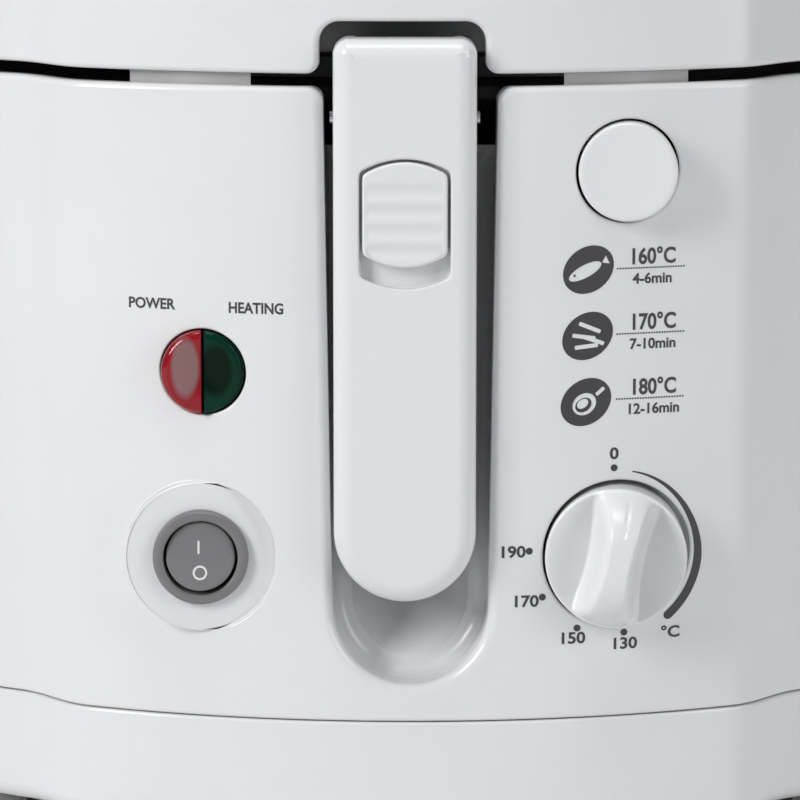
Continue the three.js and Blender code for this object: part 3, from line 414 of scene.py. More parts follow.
def cover(skin, face, outline, holes=(), step=(6, 6), relief=None):
    """Fills an outline on a face; a relief sinks it by a depth and bends its directions."""
    spots, triangles = fill(outline, holes, step)
    places, ways = face.at(spots), face.out(spots)
    if relief is not None:
        places = places - ways * relief(spots)[:, None]
        ways = ways + face.side(spots, columns(*slopes(relief, spots, 0.02)))
    skin.add(places, ways, triangles.tolist())


TURNED = {  # two axes across a turned piece, and the way its front looks
    "front": ((1, 0, 0), (0, 0, 1), (0, -1, 0)),
    "rear": ((-1, 0, 0), (0, 0, 1), (0, 1, 0)),
    "below": ((1, 0, 0), (0, -1, 0), (0, 0, -1)),
}


CRISP_TURN = math.cos(math.radians(30))


def lathe(skin, origin, looking, profile, count):
    """Turns a profile of (radius, depth behind the origin); its sharp turns stay crisp."""
    profile = np.array(profile, float)
    turn = np.linspace(0, 2 * math.pi, count, endpoint=False)
    across, up, out = np.array(TURNED[looking], float)
    flat = np.cos(turn)[:, None] * across + np.sin(turn)[:, None] * up
    rows = []
    runs = np.diff(profile, axis=0)
    normals = unit(columns(runs[:, 1], runs[:, 0]))
    for i in range(len(runs)):
        for end in (0, 1):
            radius, depth = profile[i + end]
            way = normals[i].copy()
            j = i + (1 if end else -1)
            if 0 <= j < len(runs) and normals[i] @ normals[j] > CRISP_TURN:
                way = way + normals[j]
            rows.append((np.array(origin) + flat * radius - out * depth, unit(flat * way[0] + out * way[1])))
    for i in range(len(runs)):
        skin.rows(rows[2 * i:2 * i + 2])


def tube(skin, path, radius, sides=8, closed=False):
    """A round wire along points."""
    path = np.array(path, float)
    if closed:
        run = unit(np.roll(path, -1, axis=0) - np.roll(path, 1, axis=0))
    else:
        run = unit(np.gradient(path, axis=0))
    up = np.where(np.abs(run[:, 2:3]) > 0.9, [[1.0, 0, 0]], [[0, 0, 1.0]])
    a = unit(np.cross(run, up))
    b = np.cross(run, a)
    turn = np.linspace(0, 2 * math.pi, sides, endpoint=False)
    rows = []
    for k in range(len(path)):
        ways = np.cos(turn)[:, None] * a[k] + np.sin(turn)[:, None] * b[k]
        rows.append((path[k] + ways * radius, ways))
    if closed:
        rows.append(rows[0])
    skin.rows(rows)
    if not closed:
        for k, sign in ((0, -1), (-1, 1)):
            skin.add(rows[k][0], np.tile(run[k] * sign, (sides, 1)), [tuple(range(sides))])


# ---------------------------------------------------------------- materials
def material(name, color, roughness, metallic=0.0):
    mat = bpy.data.materials.new(name)
    mat.use_nodes = True
    shader = mat.node_tree.nodes["Principled BSDF"]
    shader.inputs["Base Color"].default_value = (*color, 1)
    shader.inputs["Roughness"].default_value = roughness
    shader.inputs["Metallic"].default_value = metallic
    return mat


def noise_on(mat, scale, detail=3.0, stretch=(1, 1, 1)):
    nodes, links = mat.node_tree.nodes, mat.node_tree.links
    place = nodes.new("ShaderNodeTexCoord")
    scaled = nodes.new("ShaderNodeMapping")
    scaled.inputs["Scale"].default_value = stretch
    noise = nodes.new("ShaderNodeTexNoise")
    noise.inputs["Scale"].default_value = scale
    noise.inputs["Detail"].default_value = detail
    links.new(place.outputs["Object"], scaled.inputs["Vector"])
    links.new(scaled.outputs["Vector"], noise.inputs["Vector"])
    return noise


def blend_color(mat, source, low, high, start=0.0, end=1.0):
    """Lets an output that runs from start to end take the shader's colour from one tone to another."""
    nodes, links = mat.node_tree.nodes, mat.node_tree.links
    ramp = nodes.new("ShaderNodeValToRGB")
    first, last = ramp.color_ramp.elements
    first.position, last.position = start, end
    first.color, last.color = (*low, 1), (*high, 1)
    links.new(source, ramp.inputs["Fac"])
    links.new(ramp.outputs["Color"], nodes["Principled BSDF"].inputs["Base Color"])


def vary(mat, scale, low, high, socket="Roughness", detail=3.0, stretch=(1, 1, 1)):
    """Lets noise move a shader's value, or its colour, between two ends."""
    nodes, links = mat.node_tree.nodes, mat.node_tree.links
    noise = noise_on(mat, scale, detail, stretch)
    if socket == "Base Color":
        blend_color(mat, noise.outputs["Fac"], low, high, 0.3, 0.7)
        return
    spread = nodes.new("ShaderNodeMapRange")
    spread.inputs["From Min"].default_value = 0.3
    spread.inputs["From Max"].default_value = 0.7
    spread.inputs["To Min"].default_value = low
    spread.inputs["To Max"].default_value = high
    links.new(noise.outputs["Fac"], spread.inputs["Value"])
    links.new(spread.outputs["Result"], nodes["Principled BSDF"].inputs[socket])


def bump(mat, scale, distance, strength=0.4, detail=2.0, stretch=(1, 1, 1)):
    nodes, links = mat.node_tree.nodes, mat.node_tree.links
    noise = noise_on(mat, scale, detail, stretch)
    relief = nodes.new("ShaderNodeBump")
    relief.inputs["Strength"].default_value = strength
    relief.inputs["Distance"].default_value = distance
    links.new(noise.outputs["Fac"], relief.inputs["Height"])
    links.new(relief.outputs["Normal"], nodes["Principled BSDF"].inputs["Normal"])


def gloss_white():
    mat = material("gloss_white", (0.74, 0.745, 0.755), 0.2)
    vary(mat, 30, (0.735, 0.74, 0.752), (0.75, 0.753, 0.762), "Base Color")
    vary(mat, 90, 0.17, 0.24)
    bump(mat, 420, 0.00002, 0.15)
    return mat


def satin_white():
    mat = material("satin_white", (0.72, 0.725, 0.73), 0.35)
    vary(mat, 40, (0.71, 0.715, 0.72), (0.73, 0.735, 0.74), "Base Color")
    vary(mat, 150, 0.3, 0.4)
    bump(mat, 1500, 0.00003, 0.25)
    return mat


def shaded_white():
    # Painted shade: the white plastic darkened to stand for the shade these pieces sit in under the lid
    mat = material("shaded_white", (0.55, 0.55, 0.54), 0.5)
    vary(mat, 35, (0.53, 0.53, 0.52), (0.57, 0.57, 0.56), "Base Color")
    vary(mat, 120, 0.42, 0.56)
    bump(mat, 1200, 0.00004, 0.3)
    return mat


def plain(name, low, high, rough_low, rough_high, grain=900, depth=0.00004, metallic=0.0):
    mat = material(name, low, rough_low, metallic)
    vary(mat, 45, low, high, "Base Color")
    vary(mat, 160, rough_low, rough_high)
    bump(mat, grain, depth, 0.3)
    return mat


def brushed_steel():
    stretch = (1, 30, 30)
    mat = material("brushed_steel", (0.6, 0.6, 0.61), 0.28, 1.0)
    vary(mat, 60, (0.56, 0.56, 0.57), (0.66, 0.66, 0.67), "Base Color", 3.0, stretch)
    vary(mat, 60, 0.2, 0.38, "Roughness", 4.0, stretch)
    bump(mat, 60, 0.00003, 0.2, 4.0, stretch)
    return mat


def window_glass():
    mat = material("clear_window", (0.9, 0.93, 0.93), 0.03, 0.0)
    shader = mat.node_tree.nodes["Principled BSDF"]
    shader.inputs["Transmission Weight"].default_value = 1.0
    shader.inputs["IOR"].default_value = 1.45
    vary(mat, 50, 0.02, 0.06)
    return mat


def lens(name, tones, centre, half, gloss):
    """A lamp's coloured cap whose tone changes round a centre (x, z): the red cap's pinkish middle is a
    painted reflection, and the green cap is darker in its middle.
    """
    mat = material(name, tones[0], 0.08)
    nodes, links = mat.node_tree.nodes, mat.node_tree.links
    nodes["Principled BSDF"].inputs["Specular IOR Level"].default_value = gloss
    place = nodes.new("ShaderNodeTexCoord")
    scaled = nodes.new("ShaderNodeMapping")
    x, z = (-c / h for c, h in zip(centre, half))
    scaled.inputs["Location"].default_value = (x, 0, z)
    scaled.inputs["Scale"].default_value = (1 / (half[0] * MM), 0, 1 / (half[1] * MM))
    # Painted patch: a round blend of colour that stands in for a reflection on the red cap
    painted_patch = nodes.new("ShaderNodeTexGradient")
    painted_patch.gradient_type = "SPHERICAL"
    links.new(place.outputs["Object"], scaled.inputs["Vector"])
    links.new(scaled.outputs["Vector"], painted_patch.inputs["Vector"])
    blend_color(mat, painted_patch.outputs["Color"], *tones, 0.05, 0.3)
    vary(mat, 300, 0.06, 0.12)
    return mat


def painted_shade_by_height(name, low, high, height):
    """A moulding painted dark below a height, as painted shade, and light above it."""
    mat = material(name, low, 0.5)
    nodes, links = mat.node_tree.nodes, mat.node_tree.links
    place = nodes.new("ShaderNodeTexCoord")
    parts = nodes.new("ShaderNodeSeparateXYZ")
    ramp = nodes.new("ShaderNodeMapRange")
    ramp.inputs["From Min"].default_value = (height - 0.2) * MM
    ramp.inputs["From Max"].default_value = (height + 0.2) * MM
    links.new(place.outputs["Object"], parts.inputs["Vector"])
    links.new(parts.outputs["Z"], ramp.inputs["Value"])
    blend_color(mat, ramp.outputs["Result"], low, high)
    vary(mat, 160, 0.45, 0.6)
    return mat


LOOKS = {
    # Painted shade: the collar goes black below the bars so the seam gap under the lid reads dark, and the
    # bars take a white darkened to 0.55 for the shade there
    "trim": painted_shade_by_height("collar_moulding", (0.03, 0.03, 0.03), (0.55, 0.55, 0.54), COLLAR_TOP + 0.3),
    "dark_metal": plain("dark_plated_steel", (0.05, 0.05, 0.052), (0.08, 0.08, 0.082), 0.4, 0.55, 300,
                        metallic=0.6),
    "white": gloss_white(),
    "satin": satin_white(),
    "inner": shaded_white(),
    "grey": plain("switch_grey", (0.17, 0.17, 0.175), (0.19, 0.19, 0.195), 0.3, 0.4),
    "black": plain("matt_black", (0.012, 0.012, 0.013), (0.02, 0.02, 0.021), 0.5, 0.7),
    "rubber": plain("foot_rubber", (0.02, 0.02, 0.021), (0.032, 0.032, 0.033), 0.75, 0.9, 500, 0.0001),
    "silicone": plain("seal_silicone", (0.42, 0.43, 0.44), (0.47, 0.48, 0.49), 0.5, 0.65),
    "steel": brushed_steel(),
    "wire": plain("plated_wire", (0.62, 0.62, 0.62), (0.7, 0.7, 0.7), 0.18, 0.3, 400, 0.00002, 1.0),
    "sheet": plain("aluminium_sheet", (0.55, 0.56, 0.57), (0.63, 0.64, 0.65), 0.35, 0.5, 300, 0.00005, 1.0),
    "coat": plain("non_stick_coat", (0.028, 0.028, 0.03), (0.045, 0.045, 0.048), 0.3, 0.45, 700, 0.00006,
                  0.3),
    # Red cap: deep red turning pinkish round (-53.6, 119.7), a painted reflection; green cap: darker towards
    # its middle
    "red": lens("red_lamp", ((0.26, 0.006, 0.012), (0.23, 0.12, 0.12)), (-53.6, 119.7), (3.9, 8.4), 0.4),
    "green": lens("green_lamp", ((0.002, 0.03, 0.017), (0.0008, 0.01, 0.005)), (-46.2, 119.0), (4.6, 7.4),
                  0.12),
    "glass": window_glass(),
    "ceramic": plain("ceramic_block", (0.62, 0.59, 0.52), (0.7, 0.67, 0.6), 0.5, 0.65),
    "foam": plain("filter_foam_dark", (0.02, 0.02, 0.02), (0.05, 0.05, 0.05), 0.85, 0.95, 350, 0.0006),
    "ink": plain("print_grey", (0.042, 0.042, 0.047), (0.054, 0.054, 0.06), 0.4, 0.55),
    "pale_ink": plain("print_white", (0.7, 0.7, 0.7), (0.75, 0.75, 0.75), 0.35, 0.5),
}


KEPT_PIECES = {
    "trim": ["rim_collar"],
    # These pieces take the darkened white, painted shade for where they sit under the lid
    "inner": ["hinge_arm", "lid_striker", "latch_hook"],
    "dark_metal": ["handle_bracket"],
    "steel": ["sensor_bulb", "thermal_cutout", "heating_element", "handle_pin", "latch_pin", "hinge_pin",
              "lid_spring", "slider_spring",
              *(f"liner_screw_{i}" for i in range(1, 5)), *(f"base_screw_{i}" for i in range(1, 5))],
    "sheet": ["lid_liner", "heat_shield"],
    "silicone": ["lid_gasket"],
    "foam": ["filter_pad"],
    "ceramic": ["thermostat", "terminal_block"],
    "black": ["lamp_holder"],
}


def dress_kept_pieces():
    """Gives each piece that keeps its CAD shape the look of its material."""
    for look, names in KEPT_PIECES.items():
        for name in names:
            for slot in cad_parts[name].material_slots:
                slot.material = LOOKS[look]


def finish_piece(skin, name, looks, body, replaced=()):
    """Makes one piece of a skin, hangs it on the body it rides on and hides the nodes it stands in for."""
    obj = skin.object(name, [LOOKS[look] for look in looks])
    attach(obj, body)
    if replaced:
        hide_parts(*replaced)


# ---------------------------------------------------------------- camera, floor and light
CAMERA_PLACE = (-0.00245, -1.275, 0.299)  # in metres
CAMERA_TILT, CAMERA_LENS, CAMERA_SENSOR = 80.39, 211.85, 36


def stage():
    scene = bpy.context.scene
    lens_data = bpy.data.cameras.new("camera")
    lens_data.lens = CAMERA_LENS
    lens_data.sensor_width = CAMERA_SENSOR
    lens_data.clip_end = 20
    camera = bpy.data.objects.new("camera", lens_data)
    camera.location = CAMERA_PLACE
    camera.rotation_euler = (math.radians(CAMERA_TILT), 0, 0)
    scene.collection.objects.link(camera)
    scene.camera = camera

    floor = bpy.data.meshes.new("floor")
    reach = 8.0
    corners = [(-reach, -reach, 0), (reach, -reach, 0), (reach, reach, 0), (-reach, reach, 0)]
    floor.from_pydata(corners, [], [(0, 1, 2, 3)])
    mat = material("studio_floor", (0.8, 0.8, 0.8), 0.6)
    vary(mat, 2, (0.78, 0.78, 0.78), (0.82, 0.82, 0.82), "Base Color")
    floor.materials.append(mat)
    ground = bpy.data.objects.new("floor", floor)
    scene.collection.objects.link(ground)

    world = bpy.data.worlds.new("studio")
    world.use_nodes = True
    world.node_tree.nodes["Background"].inputs["Color"].default_value = (0.9, 0.95, 1, 1)
    world.node_tree.nodes["Background"].inputs["Strength"].default_value = 0.12
    scene.world = world
    scene.view_settings.view_transform = "Standard"

    def softbox(name, place, aim, size, power):
        data = bpy.data.lights.new(name, "AREA")
        data.shape = "RECTANGLE"
        data.size, data.size_y = size
        data.energy = power
        light = bpy.data.objects.new(name, data)
        light.location = place
        light.rotation_euler = (Vector(aim) - Vector(place)).to_track_quat("-Z", "Y").to_euler()
        scene.collection.objects.link(light)

    softbox("key_left", (-1.5, -1.3, 1.1), (0, -0.1, 0.12), (0.6, 1.0), 32)
    softbox("fill_right", (1.6, -1.1, 0.7), (0, -0.1, 0.12), (0.7, 1.3), 12.5)
    softbox("top", (-0.1, -0.4, 1.7), (0, -0.1, 0.1), (0.9, 0.6), 8)
    softbox("rear", (0.6, 1.6, 1.3), (0, 0.1, 0.1), (1.2, 1.0), 9)


# ---------------------------------------------------------------- housing
def recess_loop(top):
    """The recess's outline from its top right, down and round, to its top left."""
    high, low = RECESS_TOP / 2, RECESS_LOW / 2
    end = RECESS_END + low
    sides = np.linspace(0, 1, 60)
    right = columns(high + (low - high) * sides, top + (end - top) * sides)
    bowl = arc(0, end, low, 0, -180, 60)[1:-1]
    left = (right * [-1, 1])[::-1]
    return np.concatenate([right, bowl, left])


def recess_floor(z):
    """How far back the recess is at a height: upright above its ramp, then out to the face."""
    low, bend, high = RECESS_END, RECESS_END + 2, RECESS_END + RECESS_RAMP
    ramp = bezier([(low, FRONT_Y), (bend, RECESS_BACK), (high, RECESS_BACK)], 200)
    return np.interp(z, ramp[:, 0], ramp[:, 1])


def upper_edge():
    """The housing's upper edge as (s, z), right to left, with the corners and the sides of the recess.

    Also gives each place's share in the recess: none on the top, rising round a corner."""
    top, half = HOUSING_TOP, BODY.length / 2
    right = arc(RECESS_TOP / 2 + RECESS_CORNER, top - RECESS_CORNER, RECESS_CORNER, 90, 180, 9)
    left = (right * [-1, 1])[::-1]
    side = recess_loop(top - RECESS_CORNER)[1:-1]
    run = np.linspace(half, BODY.from_front(right[:1])[0, 0], 180)[:-1]
    top_right = columns(run, np.full(len(run), top))
    top_left = (top_right * [-1, 1])[::-1]
    middle = BODY.from_front(np.concatenate([right, side, left]))
    rise = np.linspace(0, 1, len(right))
    on_top = np.zeros(len(run))
    into = np.concatenate([on_top, rise, np.ones(len(side)), rise[::-1], on_top])
    return np.concatenate([top_right, middle, top_left]), into


def housing_rims(skin):
    """Rounds the housing's edges; gives the outline between them and the lower rim of the recess."""
    half = BODY.length / 2
    upper, into = upper_edge()
    away = away_from(upper, closed=False)
    below_sill = (into >= 1) & (upper[:, 1] < SILL)
    foot = np.where(below_sill, RECESS_FOOT * smooth(SILL, SILL - 6, upper[:, 1]), 0.0)
    inner = upper + away * foot[:, None]
    deep = np.where(into >= 1, recess_floor(inner[:, 1]) - BODY.at(inner)[:, 1], WALL + 9 * into)
    inward = -BODY.out(upper) * (1 - into[:, None]) + np.array([0, 1, 0]) * into[:, None]
    lips = TOP_LIP + (RECESS_LIP - TOP_LIP) * into
    rows, border = edge_rows(BODY, upper, away, lips, deep, foot, unit(inward))
    skin.rows(rows, False)
    count = 360
    lower = columns(np.linspace(-half, half, count), np.full(count, SEAM + GAP / 2))
    low_rows, low_border = edge_rows(BODY, lower, np.tile([0.0, -1.0], (count, 1)), 0.8, WALL)
    skin.rows(low_rows, False)
    border[[0, -1], 0] = [half, -half]
    return np.concatenate([low_border, border]), rows[-1][0][below_sill][:, [0, 2]]


def bore(skin, loop, lip, back_y, foot=0.0):
    """A hole drawn across the front, its wall straight back to a depth; gives its rim."""
    flat = BODY.from_front(loop)
    return cut(skin, BODY, flat, lip, back_y - BODY.at(flat)[:, 1], foot, (0, 1, 0))


def side_grip(skin, sign):
    """A grip sunk into one side of the body; gives its rim."""
    side = BODY.s > 100
    middle = np.interp(0.0, BODY.points[side, 1], BODY.s[side])
    loop = rounded_rect(0, GRIP_HEIGHT, *GRIP, 12) + [sign * middle, 0]
    rim = cut(skin, BODY, loop, GRIP_LIP, GRIP_DEPTH, GRIP_FOOT)
    cover(skin, BODY, loop - away_from(loop) * GRIP_FOOT, relief=lambda q: np.full(len(q), GRIP_DEPTH))
    return rim


def scooped_floor(skin, ring):
    """The back of the recess, hollowed towards its middle."""
    spots, triangles = fill(ring, (), (4, 2.5))
    edge = spaced(ring, 0.5)

    def scoop(q):
        reach = np.array([np.min(np.hypot(*(edge - p).T)) for p in q])
        return recess_floor(q[:, 1]) + SCOOP_DEPTH * (1 - np.square(1 - np.minimum(reach / SCOOP_REACH, 1)))

    y = np.where(np.arange(len(spots)) < len(ring), recess_floor(spots[:, 1]), scoop(spots))
    dx, dz = slopes(scoop, spots, 0.4)
    ways = columns(dx, -np.ones_like(dx), dz)
    skin.add(columns(spots[:, 0], y, spots[:, 1]), ways, triangles.tolist())


def housing():
    skin = Skin()
    outline, recess_rim = housing_rims(skin)
    holes = [
        bore(skin, circle(*SWITCH[:2], PAD_RADIUS, 120), SEAT_LIP, SEAT_Y, SEAT_LIP),
        bore(skin, circle(*LAMP[:2], LAMP[2] + GAP), 0.5, LAMP_WELL),
        bore(skin, circle(*BUTTON[:2], BUTTON[2] + CONTROL_GAP), 0.7, BUTTON_WELL),
        bore(skin, circle(*DIAL_HOLE, 96), 0.7, DIAL_WELL),
        side_grip(skin, -1),
        side_grip(skin, 1),
    ]
    cover(skin, BODY, outline, holes, (3.2, 7.0))
    seat = circle(*SWITCH[:2], PAD_RADIUS - SEAT_LIP, 120)
    cover(skin, front_face(SEAT_Y), seat, [circle(*SWITCH[:2], 10)], (4, 4))
    cover(skin, front_face(DIAL_WELL), circle(*DIAL_HOLE))
    scooped_floor(skin, recess_rim)
    finish_piece(skin, "housing_shell", ["white"], "fryer", ["housing"])


# ---------------------------------------------------------------- lid
def curve_through(points, per=10):
    """A smooth curve through points, with the first and last only steering its ends."""
    p = np.array(points, float)
    out = []
    t = np.linspace(0, 1, per, endpoint=False)[:, None]
    for a, b, c, d in zip(p, p[1:], p[2:], p[3:]):
        bend = (2 * a - 5 * b + 4 * c - d) * t**2 + (3 * b - a - 3 * c + d) * t**3
        out.append(0.5 * (2 * b + (c - a) * t + bend))
    return np.concatenate([*out, p[-2:-1]])


CROWN_START = 30.0  # inset at which the crown's rings begin to close in on the middle
REACH = 130.0
CROWN = curve_through([
    (0, 199), (0, 207), (1.6, 215), (6, 224), (15, 231), (CROWN_START, 236), (62, 240), (100, 241.6),
    (REACH, LID_TOP), (160, 241.6),
])


def crown_ring(s, inset):
    """The lid's plan at an inset: the console's step fades out towards the middle."""
    spot, way = BODY.flat(s)
    front = (np.abs(spot[:, 0]) < CONSOLE_BLEND) & (spot[:, 1] < 0)
    bow = spot.copy()
    bow[front, 1] = bow_y(spot[front, 0])
    centre = np.array([0, FRONT_Y + CONSOLE_STEP + BOW_RADIUS])
    out = np.where(front[:, None], unit(bow - centre), way)
    keep = 1 - float(smooth(0, 45, inset))
    return bow - out * inset + (spot - bow) * keep


class Crown:
    """The nearly flat top of the lid, over places (x, y)."""

    def __init__(self):
        s = np.linspace(-BODY.length / 2, BODY.length / 2, LID_STEPS + 1)[:-1]
        ring = crown_ring(s, CROWN_START)
        turn = np.arctan2(ring[:, 1], ring[:, 0])
        order = np.argsort(turn)
        self.turn, self.size = turn[order], np.linalg.norm(ring, axis=1)[order]

    def height(self, q):
        edge = np.interp(np.arctan2(q[:, 1], q[:, 0]), self.turn, self.size, period=2 * math.pi)
        share = 1 - np.linalg.norm(q, axis=1) / edge
        inset = CROWN_START + (REACH - CROWN_START) * share
        return np.interp(inset, CROWN[:, 0], CROWN[:, 1])

    def at(self, q):
        return np.concatenate([q, self.height(q)[:, None]], axis=1)

    def out(self, q):
        dx, dy = slopes(self.height, q, 1.5)
        return unit(columns(-dx, -dy, np.ones_like(dx)))

    def side(self, q, way):
        return np.concatenate([way, np.zeros((len(q), 1))], axis=1)


def lid_lower_edge(steps):
    """Lower edge of the lid's side as (s, z), left to right, with the notch for the handle."""
    flare = 3.0
    left, right = NOTCH_X - NOTCH_WIDTH / 2, NOTCH_X + NOTCH_WIDTH / 2
    c = NOTCH_CORNER
    notch = np.concatenate([
        arc(left - flare, LID_EDGE + flare, flare, -90, 0, 8),
        arc(left + c, NOTCH_TOP - c, c, 180, 90, 12),
        arc(right - c, NOTCH_TOP - c, c, 90, 0, 12),
        arc(right + flare, LID_EDGE + flare, flare, 180, 270, 8),
    ])
    notch = BODY.from_front(notch)
    half, ear, ear_top = BODY.length / 2, 43.0, 206.0
    before = np.linspace(-half + ear, notch[0, 0], steps)[:-1]
    after = np.linspace(notch[-1, 0], half - ear, steps)[1:]
    flat = np.array([[-half, ear_top], [-half + ear - 0.5, ear_top], [-half + ear, ear_top - 0.5]])
    return np.concatenate([
        flat,
        columns(before, np.full(len(before), LID_EDGE)),
        notch,
        columns(after, np.full(len(after), LID_EDGE)),
        (flat * [-1, 1])[::-1],
    ])


def level(ring, z):
    """Places of a plan curve at one height."""
    return np.concatenate([ring, np.full((len(ring), 1), z)], axis=1)


def plan_rows(profile, count=360):
    """Rows of places round the body's plan for a profile of (inset, z)."""
    s = np.linspace(-BODY.length / 2, BODY.length / 2, count + 1)[:-1]
    spot, way = BODY.flat(s)
    return [level(spot - way * inset, z) for inset, z in profile]


def lid_side(skin):
    """The lid's upright side, from its lower edge to where the crown begins."""
    half = BODY.length / 2
    path = lid_lower_edge(120)
    lower = [path[:1]]
    for a, b in zip(path, path[1:]):
        n = max(1, int(math.ceil(np.linalg.norm(b - a) / 3.0)))
        lower.append(a + (b - a) * np.linspace(0, 1, n + 1)[1:, None])
    lower = np.concatenate(lower)
    rows, border = edge_rows(BODY, lower, away_from(lower, closed=False), LID_LIP, LID_WALL)
    skin.rows(rows, False)
    border[[0, -1], 0] = [-half, half]
    s = np.linspace(-half, half, LID_STEPS + 1)
    top = columns(s[::-1], np.full(len(s), LID_SIDE_TOP))
    cover(skin, BODY, np.concatenate([border, top]), (), (3.2, 4.0))


def opening(place, grow, step=5.0):
    """The rounded outline of an opening (width, depth, y) in the lid, grown on every side."""
    width, depth, y = place
    return spaced(rounded_rect(0, y, width + 2 * grow, depth + 2 * grow, OPENING_CORNER + grow, 10), step)


def lid():
    skin = Skin()
    lid_side(skin)
    s = np.linspace(-BODY.length / 2, BODY.length / 2, LID_STEPS + 1)[:-1]
    insets = CROWN[CROWN[:, 0] <= CROWN_START + 1e-6]
    rows = [level(crown_ring(s, inset), z) for inset, z in insets]
    below = rows[0] - [0, 0, 1.0]
    ways = -grid_ways(np.array([below, *rows]))[1:]
    ways[0] = BODY.out(columns(s, s))
    crown = Crown()
    last = crown_ring(s, CROWN_START)
    ways[-1] = unit(ways[-1] + crown.out(last * 0.995))
    skin.rows(list(zip(rows, ways)))

    holes = []
    for place in (WINDOW, FILTER):
        loop = opening(place, FRAME_WIDE + GAP, 4.0)
        deep = crown.height(loop) - (INSERT_TOP - INSERT_THICK - GAP)
        holes.append(cut(skin, crown, loop, 0.8, deep, 0.0, (0, 0, -1)))
    cover(skin, crown, last, holes)
    # The underside, seen when the lid stands open.
    under = plan_rows([(LID_WALL, LID_EDGE + 13), (LID_WALL, LID_SIDE_TOP)], LID_STEPS)
    under += [level(crown_ring(s, inset + 3.0), z - 1.8) for inset, z in insets[4::4]]
    skin.grid(under, flip=True)
    finish_piece(skin, "lid_cover", ["white"], "lid", ["lid_shell"])


def lid_inserts():
    top = top_face(INSERT_TOP)
    skin = Skin()
    slab(skin, top, opening(WINDOW, FRAME_WIDE), [opening(WINDOW, 0)], 1.4, 0.8, 0.5, (6, 6))
    finish_piece(skin, "window_surround", ["satin"], "lid", ["window_frame"])
    skin = Skin()
    slab(skin, top_face(INSERT_TOP - 1.5), opening(WINDOW, -GAP), (), 1.3, 0.3, None, (8, 8))
    finish_piece(skin, "window_pane", ["glass"], "lid", ["window_glass"])
    skin = Skin()
    width, depth, y = FILTER
    count = 6
    places = [y - depth / 2 + (i + 0.5) * (depth / count) for i in range(count)]
    slots = [spaced(rounded_rect(0, place, width - 16, 3.4, 1.6, 5), 5.0) for place in places]
    slab(skin, top, opening(FILTER, FRAME_WIDE), slots, INSERT_THICK, 0.8, 0.5, (6, 6))
    finish_piece(skin, "filter_grille", ["white"], "lid", ["filter_cover"])


# ---------------------------------------------------------------- base and feet
FEET = [(-88, -118, "foot_front_left"), (88, -118, "foot_front_right"),
        (-88, 128, "foot_rear_left"), (88, 128, "foot_rear_right")]


def base():
    skin = Skin()
    top = SEAM - GAP / 2
    lip, foot_in, foot_up = 0.8, 6.0, 5.0
    brim = [(lip - lip * math.sin(a), top - lip + lip * math.cos(a)) for a in np.linspace(0, math.pi / 2, 6)]
    foot = [(foot_in - foot_in * math.cos(a), FOOT_HEIGHT + foot_up - foot_up * math.sin(a))
            for a in np.linspace(0, math.pi / 2, 9)]
    rows = plan_rows([(WALL, top), (WALL - 0.5, top), *brim, (0, 24), (0, 15), *foot])
    skin.grid(rows)
    under = Flat((0, 0, FOOT_HEIGHT), (1, 0, 0), (0, 1, 0), (0, 0, -1))
    feet = [(circle(x, y, 9.3, 40), 2.0) for x, y, _ in FEET]
    screws = [(circle(x, y, 4.2, 28), 4.0) for x in (-121.7, 121.7) for y in (-60, 80)]
    vents = [(rounded_rect(0, 12 * i + 20, 52, 4, 1.9, 5), 3.0) for i in (-2, -1, 0, 1, 2)]
    holes = [cut(skin, under, loop, 0.4, deep) for loop, deep in feet + screws + vents]
    cover(skin, under, rows[-1][:, :2], holes, (12, 12))
    finish_piece(skin, "base_shell", ["white"], "fryer", ["base"])


def feet():
    profile = [(0, 0), (7.2, 0), (8.3, 0.35), (8.9, 1.1), (9, 2), (9, 7.7)]
    for x, y, name in FEET:
        skin = Skin()
        lathe(skin, (x, y, 0), "below", profile, 48)
        finish_piece(skin, name + "_pad", ["rubber"], "fryer", [name])


def cord_gland():
    skin = Skin()
    profile = [(0, 8), (3.4, 8), (3.4, 0.6), (4.0, 0.1), (5.2, 0), (5.8, 0.5), (6.1, 2.2), (6.5, 5.2),
               (7.2, 5.9), (9.0, 6.0), (9.8, 6.5), (10, 7.4), (10, 9.8)]
    lathe(skin, (0, REAR_Y + 10, 55), "rear", profile, 56)
    finish_piece(skin, "cord_bush", ["black"], "fryer", ["cord_gland"])


# ---------------------------------------------------------------- handle and slider
def slider_loop(width, top, end, arch=3.0, count=16):
    half = width / 2
    low = bezier([(-half, end + arch), (0, end - arch), (half, end + arch)], count)
    high = bezier([(half, top - arch), (0, top + arch), (-half, top - arch)], count)
    return spaced(np.concatenate([low, high]) + [HANDLE_X, 0], 1.5)


def soften(loop, radius, times=6):
    """Rounds a loop's corners by averaging neighbours, on a fine spacing."""
    fine = spaced(loop, radius / 3)
    for _ in range(times):
        fine = (np.roll(fine, 1, axis=0) + 2 * fine + np.roll(fine, -1, axis=0)) / 4
    return fine


